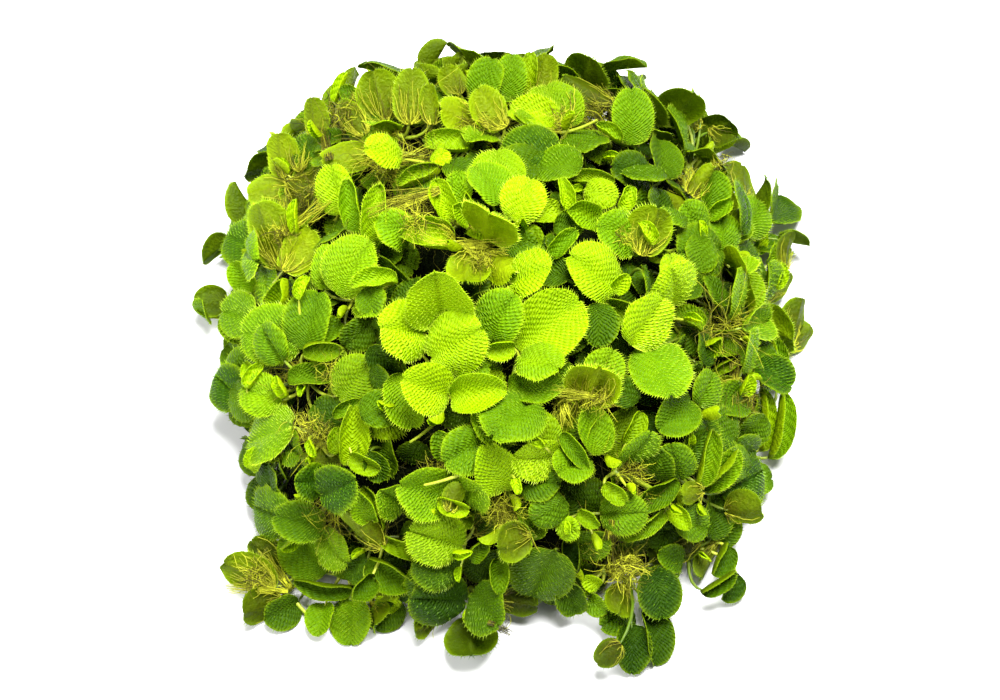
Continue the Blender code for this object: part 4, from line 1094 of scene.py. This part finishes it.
# The plants' pieces. Each has its leaves on their petioles, the roots that lie over them, its small
# leaves, its tufts and its joints. The picture places show which root tufts are dark brown and not
# straw yellow, which leaves have a mass of yellow roots over them, and which leaves are too long.
DARK_TUFTS = [
    (335, 105), (590, 105), (740, 405), (400, 198), (500, 628), (640, 212), (300, 205),
]
DARK_TUFT_REACH = 26
DARK_TUFT_TINTS = (0.25, 0.4)
PALE_TUFT_TINTS = (0.5, 0.75)
ROOTY_LEAVES = [
    (480, 245, 90), (275, 225, 80), (300, 165, 60), (475, 115, 70), (600, 385, 60), (250, 575, 80),
    (345, 110, 60), (395, 100, 50), (560, 125, 40), (690, 170, 50), (415, 225, 60), (735, 395, 60),
    (620, 560, 50), (500, 515, 40), (450, 75, 30), (640, 230, 40), (365, 125, 50),
]
NAMED_LEAF_REACH = 19
LONG_LEAVES = [(437, 42), (207, 250), (808, 236)]
SHORTER, NARROWER = 0.66, 0.8
FINE_SHADE = 0.62
YOUNG_SHADE, YOUNG_LEAF_TINT = 1.0, 0.92
YOUNG_PETIOLE = (0.9, 0.8)
STEM_LOOKS = (0.8, 0.4)
JOINT_LOOKS = (0.7, 0.4)
FIRST_SEED = 100


def in_dark_place(place):
    return picture_gap(place, DARK_TUFTS) < DARK_TUFT_REACH


def is_turned_in(leaf):
    return leaf.normal.dot(leaf.base - CLUMP_MIDDLE) < 0


def shorter(leaf):
    """A leaf, drawn smaller where it is one of the long ones."""
    if picture_gap(middle_of(leaf), LONG_LEAVES) > NAMED_LEAF_REACH:
        return leaf
    return leaf._replace(length=leaf.length * SHORTER, width=leaf.width * NARROWER)


def lying_roots(leaf):
    """How many roots lie over a leaf, and whether on its top, which is 1, or below, which is -1."""
    middle = middle_of(leaf)
    face = 1 if leaf.normal.dot(VIEW_POINT - middle) > 0 else -1
    near, count = min((picture_gap(middle, [(x, y)]), count) for x, y, count in ROOTY_LEAVES)
    if near < NAMED_LEAF_REACH:
        return count, face
    return (UNDERSIDE_ROOTS, -1) if is_turned_in(leaf) else (0, face)


def make_plant(name, seed):
    chance = random.Random(seed)
    joints, leaves, tufts = plants[name]
    growth = Growth()
    for leaf in leaves:
        shade, tint = leaf_looks(leaf, chance)
        brown = 1.0 if is_turned_in(leaf) else BROWN_SHARE
        every = 1 if shade > FINE_SHADE else 2
        blade = add_leaf(growth, shorter(leaf), chance, shade, tint, brown, every)
        count, face = lying_roots(leaf)
        add_lying_roots(growth, blade, face, count, shade, chance)
        add_petiole(growth, leaf, shade * 0.9, tint)
    for leaf in small_leaves[name]:
        shade, tint = YOUNG_SHADE, YOUNG_LEAF_TINT
        if leaf.width > YOUNG_WIDTH:
            shade, tint = leaf_looks(leaf, chance)
        add_leaf(growth, leaf, chance, shade, tint, every=1 if leaf.fold < SHUT else 0)
        add_petiole(growth, leaf, *YOUNG_PETIOLE)
    for tuft in tufts:
        tints = DARK_TUFT_TINTS if in_dark_place(tuft.belly) else PALE_TUFT_TINTS
        add_tuft(growth, tuft, 1.0, chance.uniform(*tints), chance)
    if len(joints) > 1:
        add_stem(growth, joints[0], joints[1], *STEM_LOOKS, chance)
    for joint in joints:
        add_joint(growth, joint, *JOINT_LOOKS)
        add_hanging_roots(growth, joint, chance)
        bud = bud_on(joint, chance)
        if bud:
            add_leaf(growth, bud, chance, 1.0, chance.uniform(0.75, 1.0), every=0)
            add_petiole(growth, bud, *YOUNG_PETIOLE)
    make_piece(name + "_leaves", growth, name)


for number, plant_node in enumerate(PLANT_NODES):
    make_plant(plant_node, FIRST_SEED + number)

# The tangle: a matted core of dead roots and stems on a flat underside, and roots that wind over it
# in all directions. The core's rough skin lies just inside its solid.
TANGLE_SEED = 11
CORE_DENT = 0.0016
CORE_FLOOR = 0.0002
UNDERSIDE = 0.0005
CORE_GRAINS = ((330, 0.6), (800, 0.4))
ROOT_THREADS = 800
THREAD_POINTS = 8
THREAD_STEP = 0.038
THREAD_LEVELS, THREAD_RISE = (-0.0002, 0.0034), 0.0009
THREAD_SIZES, THREAD_SHADES, THREAD_TINTS = (1.0, 2.0), (0.2, 0.7), (0.0, 0.6)


def add_core(growth):
    """The matted core."""
    build = merged_solid("root_tangle")
    upper = [edge for edge in build.edges if max(corner.co.z for corner in edge.verts) > UNDERSIDE]
    bmesh.ops.subdivide_edges(build, edges=upper, cuts=2, use_grid_fill=True)
    bmesh.ops.triangulate(build, faces=build.faces)
    first = len(growth.points)
    for corner in build.verts:
        place = corner.co.copy()
        if place.z > UNDERSIDE:
            rough = sum(noise.noise(place * scale) * share for scale, share in CORE_GRAINS)
            place -= (place - CLUMP_MIDDLE).normalized() * (CORE_DENT * (0.5 + 0.5 * rough))
            place.z = max(place.z, CORE_FLOOR)
        growth.point(place, CORE)
    build.verts.index_update()
    for face in build.faces:
        growth.face([first + corner.index for corner in face.verts])
    build.free()


def on_dome(chance):
    """A direction from the clump's middle, as often at the sides as on top."""
    turn = chance.uniform(0, math.tau)
    rise = math.asin(chance.uniform(0.0, 1.0))
    flat = math.cos(rise)
    return Vector((math.cos(turn) * flat, math.sin(turn) * flat, math.sin(rise)))


def add_threads(growth, chance):
    """Roots that wind over the core, in low painted shade."""
    for _ in range(ROOT_THREADS):
        direction = on_dome(chance)
        swing = direction.cross(stray(chance, 1)).normalized()
        level = chance.uniform(*THREAD_LEVELS)
        places = []
        for _ in range(THREAD_POINTS):
            reach = tangle_reach(direction) + level
            places.append(keep_off_ground(CLUMP_MIDDLE + direction * reach))
            swing = (swing + stray(chance, 0.4)).normalized()
            direction = (direction + swing * THREAD_STEP).normalized()
            direction.z = max(direction.z, 0)
            level += chance.uniform(-THREAD_RISE, THREAD_RISE)
        add_root(growth, places, chance.uniform(*THREAD_SIZES), chance.uniform(*THREAD_SHADES),
                 chance.uniform(*THREAD_TINTS))


chance = random.Random(TANGLE_SEED)
tangle = Growth()
add_core(tangle)
add_threads(tangle, chance)

# Mats of curled roots that show between the leaves, and others that lie over them: their picture
# places and their radii in pixels. The first grow on the core, and the others hang on the leaves.
ROOT_MATS = [
    (405, 208, 24), (398, 165, 18), (302, 432, 15), (500, 512, 16), (575, 400, 18), (600, 542, 16),
    (740, 395, 18), (590, 105, 20), (500, 122, 18), (690, 180, 14), (310, 205, 16), (640, 500, 14),
    (332, 372, 14), (500, 626, 12), (700, 420, 12), (440, 470, 12),
]
LOOSE_MATS = [
    (415, 222, 15), (385, 172, 14), (345, 112, 14), (475, 125, 15), (480, 262, 13), (255, 575, 16),
    (735, 320, 16), (628, 570, 15), (600, 398, 13), (280, 235, 12), (745, 400, 12), (560, 120, 11),
    (315, 190, 11), (620, 238, 9), (305, 425, 10), (505, 520, 10), (720, 165, 10),
]
MAT_SEARCH_DEPTH, MAT_SEARCH_STEP = 0.1, 0.001
MAT_LEVEL = 0.0048
MAT_THICKNESS = 0.0020
MAT_ROOTS_PER_MM = 27
MAT_PALE_SHARE, PALE_TINTS, OLIVE_TINTS = 0.5, (0.85, 1.2), (0.3, 0.65)
DARK_MAT_PALE_SHARE = 0.3
MAT_POINTS, MAT_CURL, MAT_REACH = 7, 0.36, (0.6, 1.6)
MAT_ROOT_SIZES, MAT_SHADES = (0.8, 1.6), (0.6, 1.1)
LOOSE_MAT_LIFT = 0.0011


def mat_of(x, y, radius):
    """A mat's centre and radius. It lies where its line of sight comes near the core, or else near
    the joint next to that line."""
    way = sight(x, y)
    distance = VIEW_DISTANCE - MAT_SEARCH_DEPTH
    place = seen_at(way, distance)
    while height_over_tangle(place) > MAT_LEVEL and place.z > MAT_THICKNESS:
        distance += MAT_SEARCH_STEP
        place = seen_at(way, distance)
    if place.z < 2 * MAT_THICKNESS:
        place = seen_at(way, distance_to(joint_near_line(way), way))
    return place, radius * METRES_PER_PIXEL


def distance_seen(x, y):
    """How far from the camera the plants are at a picture place."""
    way = sight(x, y)
    _, _, _, distance = plant_skins.ray_cast(VIEW_POINT, way)
    return distance or distance_to(joint_near_line(way), way)


def loose_mat_of(x, y, radius):
    """A loose mat's centre, just in front of the leaves, and its radius."""
    place = seen_at(sight(x, y), distance_seen(x, y) - LOOSE_MAT_LIFT)
    return place, radius * METRES_PER_PIXEL


def add_mat(growth, centre, radius, chance):
    """Curled roots that lie over one another round a centre."""
    outward = (centre - CLUMP_MIDDLE).normalized()
    pale_share = MAT_PALE_SHARE * (DARK_MAT_PALE_SHARE if in_dark_place(centre) else 1)
    for _ in range(round(radius / MM * MAT_ROOTS_PER_MM)):
        aside = square_to(outward, stray(chance, 1))
        start = centre + aside * (radius * chance.uniform(0, 0.9))
        start += outward * (MAT_THICKNESS * chance.uniform(-1, 1))
        heading = outward.cross(aside) * chance.choice((1, -1)) + stray(chance, 0.6)
        reach = radius * chance.uniform(*MAT_REACH)
        places = wander(start, heading.normalized(), reach, MAT_POINTS, MAT_CURL, chance)
        pale = chance.random() < pale_share
        tint = chance.uniform(*(PALE_TINTS if pale else OLIVE_TINTS))
        if min(place.z for place in places) > MAT_THICKNESS:
            add_root(growth, places, chance.uniform(*MAT_ROOT_SIZES),
                     chance.uniform(*MAT_SHADES), tint)


mats = [mat_of(*row) for row in ROOT_MATS]
for centre, radius in mats + [loose_mat_of(*row) for row in LOOSE_MATS]:
    add_mat(tangle, centre, radius, chance)

# Sprays of nearly straight roots that lie over the leaves: the picture places where each starts and
# ends, its breadth in pixels, how many roots it has, and their tint. Each root follows the leaves'
# solids that it passes, but never far in.
ROOT_SPRAYS = [
    (288, 591, 226, 588, 5, 55, 0.95), (292, 590, 258, 550, 8, 60, 0.95),
    (488, 622, 514, 634, 4, 40, 0.3), (614, 398, 552, 392, 5, 60, 1.0),
    (560, 394, 564, 428, 9, 50, 1.0), (612, 520, 608, 562, 9, 50, 0.5),
    (736, 354, 732, 420, 8, 60, 0.6), (488, 126, 446, 122, 8, 60, 0.7),
    (562, 132, 510, 129, 5, 50, 0.7), (384, 165, 432, 150, 9, 50, 0.75),
    (440, 190, 368, 212, 9, 70, 0.7), (456, 244, 508, 250, 11, 80, 1.05),
    (286, 236, 283, 198, 8, 50, 0.7), (290, 232, 330, 200, 9, 50, 0.9),
    (330, 160, 320, 128, 8, 50, 0.4),
]
SPRAY_STEPS = 7
SPRAY_WAVE = 0.22
DEEPEST_STEP = 0.003
SPRAY_REACH, SPRAY_LIFT = (0.4, 1.05), (0.0005, 0.0016)
SPRAY_START, SPRAY_SPREAD, SPRAY_JITTER = 0.3, 0.9, 0.5
SPRAY_SIZES, SPRAY_SHADES, SPRAY_TINT_STRAY = (0.9, 2.0), (0.7, 1.1), 0.2


def add_spray(growth, spray, chance):
    start_x, start_y, end_x, end_y, breadth, count, tint = spray
    first, last = distance_seen(start_x, start_y), distance_seen(end_x, end_y)
    length = math.hypot(end_x - start_x, end_y - start_y)
    across_x, across_y = (end_y - start_y) / length, (start_x - end_x) / length
    for _ in range(count):
        aside, reach = chance.gauss(0, 0.5), chance.uniform(*SPRAY_REACH)
        lift = chance.uniform(*SPRAY_LIFT)
        wave, turn = chance.gauss(0, SPRAY_WAVE), chance.uniform(0, math.tau)
        places = []
        for step in range(SPRAY_STEPS):
            part = reach * step / (SPRAY_STEPS - 1)
            offset = aside * (SPRAY_START + SPRAY_SPREAD * part) + wave * math.sin(5 * part + turn)
            offset = breadth * offset + chance.gauss(0, SPRAY_JITTER)
            x = start_x + (end_x - start_x) * part + across_x * offset
            y = start_y + (end_y - start_y) * part + across_y * offset
            level = first + (last - first) * part
            distance = max(min(level, distance_seen(x, y)), level - DEEPEST_STEP) - lift
            places.append(seen_at(sight(x, y), distance))
        if min(place.z for place in places) > GROUND_CLEARANCE:
            add_root(growth, places, chance.uniform(*SPRAY_SIZES), chance.uniform(*SPRAY_SHADES),
                     tint + chance.gauss(0, SPRAY_TINT_STRAY))


for spray in ROOT_SPRAYS:
    add_spray(tangle, spray, chance)

# Loose ends of stems, smooth and yellow green, that stick out between the leaves: the picture
# places where each starts and ends. Each sags a little on its way.
LOOSE_STEMS = [
    (560, 133, 597, 120), (297, 603, 319, 624), (440, 418, 410, 442), (470, 470, 424, 485),
]
LOOSE_STEM_RADIUS = 0.00048
LOOSE_STEM_TAPER = 0.06
LOOSE_STEM_RISE = 0.003
LOOSE_STEM_SAG = Vector((0, 0, -0.0015))
LOOSE_STEM_LOOKS = (0.9, 0.7)


def add_loose_stem(growth, stem):
    start_x, start_y, end_x, end_y = stem
    first = distance_seen(start_x, start_y)
    start = seen_at(sight(start_x, start_y), first)
    end = seen_at(sight(end_x, end_y), first - LOOSE_STEM_RISE)
    places = curve_points(start, (start + end) / 2 + LOOSE_STEM_SAG, end, STEM_POINTS)
    sizes = [LOOSE_STEM_RADIUS * (1 - LOOSE_STEM_TAPER * index) for index in range(STEM_POINTS)]
    growth.line(places, sizes, STEM, *LOOSE_STEM_LOOKS)


for stem in LOOSE_STEMS:
    add_loose_stem(tangle, stem)
make_piece("tangle", tangle, "root_tangle")

# Buried leaves: leaves at any angle that fill the space between the core and the outer leaves,
# often near the ground. They are dark with painted shade, and both their shade and their tint grow
# darker the deeper they lie, as painted shade of the hollows. One is kept wherever it has room and
# hides no mat of roots.
BURIED_LEAVES = 270
BURIED_TRIES = 4200
BURIED_SHARE_LOW = 0.5
BURIED_SPACE = 0.0085
BURIED_WIDTHS = (0.006, 0.011)
BURIED_FOLDS = (0.05, 0.15, 0.3, 0.55)
BURIED_LENGTH_TO_WIDTH = 1.08
BURIED_REACH = 0.012
BURIED_BROWN = 0.6
BURIED_TINT, BURIED_TINT_RISE, BURIED_TINT_STRAY = 0.12, 0.25, 0.08
BURIED_SHADE, BURIED_SHADE_RISE, BURIED_PETIOLE_SHADE = 0.28, 0.42, 0.4
NEAREST_BURIED = 0.0015
BURIED_TILT = 0.45
LOW_SQUASH, LOW_FACING = 0.3, Vector((0, 0, 0.8))


def buried_leaf(chance):
    direction = on_dome(chance)
    facing = direction + stray(chance, BURIED_TILT)
    if chance.random() < BURIED_SHARE_LOW:
        direction.z *= LOW_SQUASH
        direction.normalize()
        facing = direction + LOW_FACING + stray(chance, BURIED_TILT)
    reach = tangle_reach(direction)
    centre = CLUMP_MIDDLE + direction * (reach + chance.uniform(NEAREST_BURIED, BURIED_SPACE))
    normal = facing.normalized()
    along = normal.cross(stray(chance, 1)).normalized()
    width = chance.uniform(*BURIED_WIDTHS)
    length = width * BURIED_LENGTH_TO_WIDTH
    return Leaf(CLUMP_MIDDLE + direction * reach, centre - along * (length / 2), along,
                normal.cross(along), normal, length, width, chance.choice(BURIED_FOLDS))


def add_buried_leaves(growth, mats, chance):
    taken = []
    for _ in range(BURIED_TRIES):
        leaf = buried_leaf(chance)
        points, faces = leaf_patch(leaf)
        centre = points[0]
        if min(point.z for point in points) < 2 * GROUND_CLEARANCE:
            continue
        if any((centre - mat).length < radius + leaf.width / 2 for mat, radius in mats):
            continue
        patch = BVHTree.FromPolygons(points, faces)
        if patch.overlap(plant_skins) or patch.overlap(tangle_skin):
            continue
        if any((centre - other).length < BURIED_REACH and patch.overlap(tree)
               for other, tree in taken):
            continue
        taken.append((centre, patch))
        # Painted shade: the deeper a buried leaf lies, the darker its shade and tint.
        outer = height_over_tangle(centre) / BURIED_SPACE
        tint = BURIED_TINT + BURIED_TINT_RISE * outer + chance.gauss(0, BURIED_TINT_STRAY)
        tint, shade = within(tint), BURIED_SHADE + BURIED_SHADE_RISE * outer
        add_leaf(growth, leaf, chance, shade, tint, BURIED_BROWN, every=3, coarse=True)
        add_petiole(growth, leaf, BURIED_PETIOLE_SHADE, tint)
        if len(taken) == BURIED_LEAVES:
            break


buried = Growth()
add_buried_leaves(buried, mats, chance)
make_piece("buried_leaves", buried, "root_tangle")

# The studio: a white floor, a broad soft light above and behind the clump, a weaker one from the
# left, and an even pale surround. The floor is stage and not a part of the clump.
FLOOR_SIZE = 3
FLOOR_WHITE = (0.90, 0.90, 0.90, 1)
FLOOR_ROUGHNESS = 0.7
SURROUND_STRENGTH = 0.26


def add_floor():
    build = bmesh.new()
    bmesh.ops.create_grid(build, x_segments=1, y_segments=1, size=FLOOR_SIZE)
    mesh = bpy.data.meshes.new("floor")
    build.to_mesh(mesh)
    build.free()
    surface = bpy.data.materials.new("floor")
    surface.use_nodes = True
    shader = surface.node_tree.nodes["Principled BSDF"]
    shader.inputs["Base Color"].default_value = FLOOR_WHITE
    shader.inputs["Roughness"].default_value = FLOOR_ROUGHNESS
    mesh.materials.append(surface)
    add_object("floor", mesh)


def add_light(name, place, target, size, power):
    lamp = bpy.data.lights.new(name, "AREA")
    lamp.shape = "DISK"
    lamp.size = size
    lamp.energy = power
    look_along(add_object(name, lamp), place, Vector(target) - Vector(place))


def add_surround():
    world = bpy.data.worlds.new("surround")
    world.use_nodes = True
    background = world.node_tree.nodes["Background"]
    background.inputs["Color"].default_value = (1.0, 1.0, 1.0, 1)
    background.inputs["Strength"].default_value = SURROUND_STRENGTH
    bpy.context.scene.world = world


add_floor()
add_light("main_light", place=(0.16, 0.08, 1.04), target=(0, 0, 0.02), size=0.6, power=34.5)
add_light("side_light", place=(-0.70, -0.40, 0.70), target=(0, 0, 0.03), size=0.5, power=8)
add_surround()
bpy.context.scene.view_settings.view_transform = "Standard"
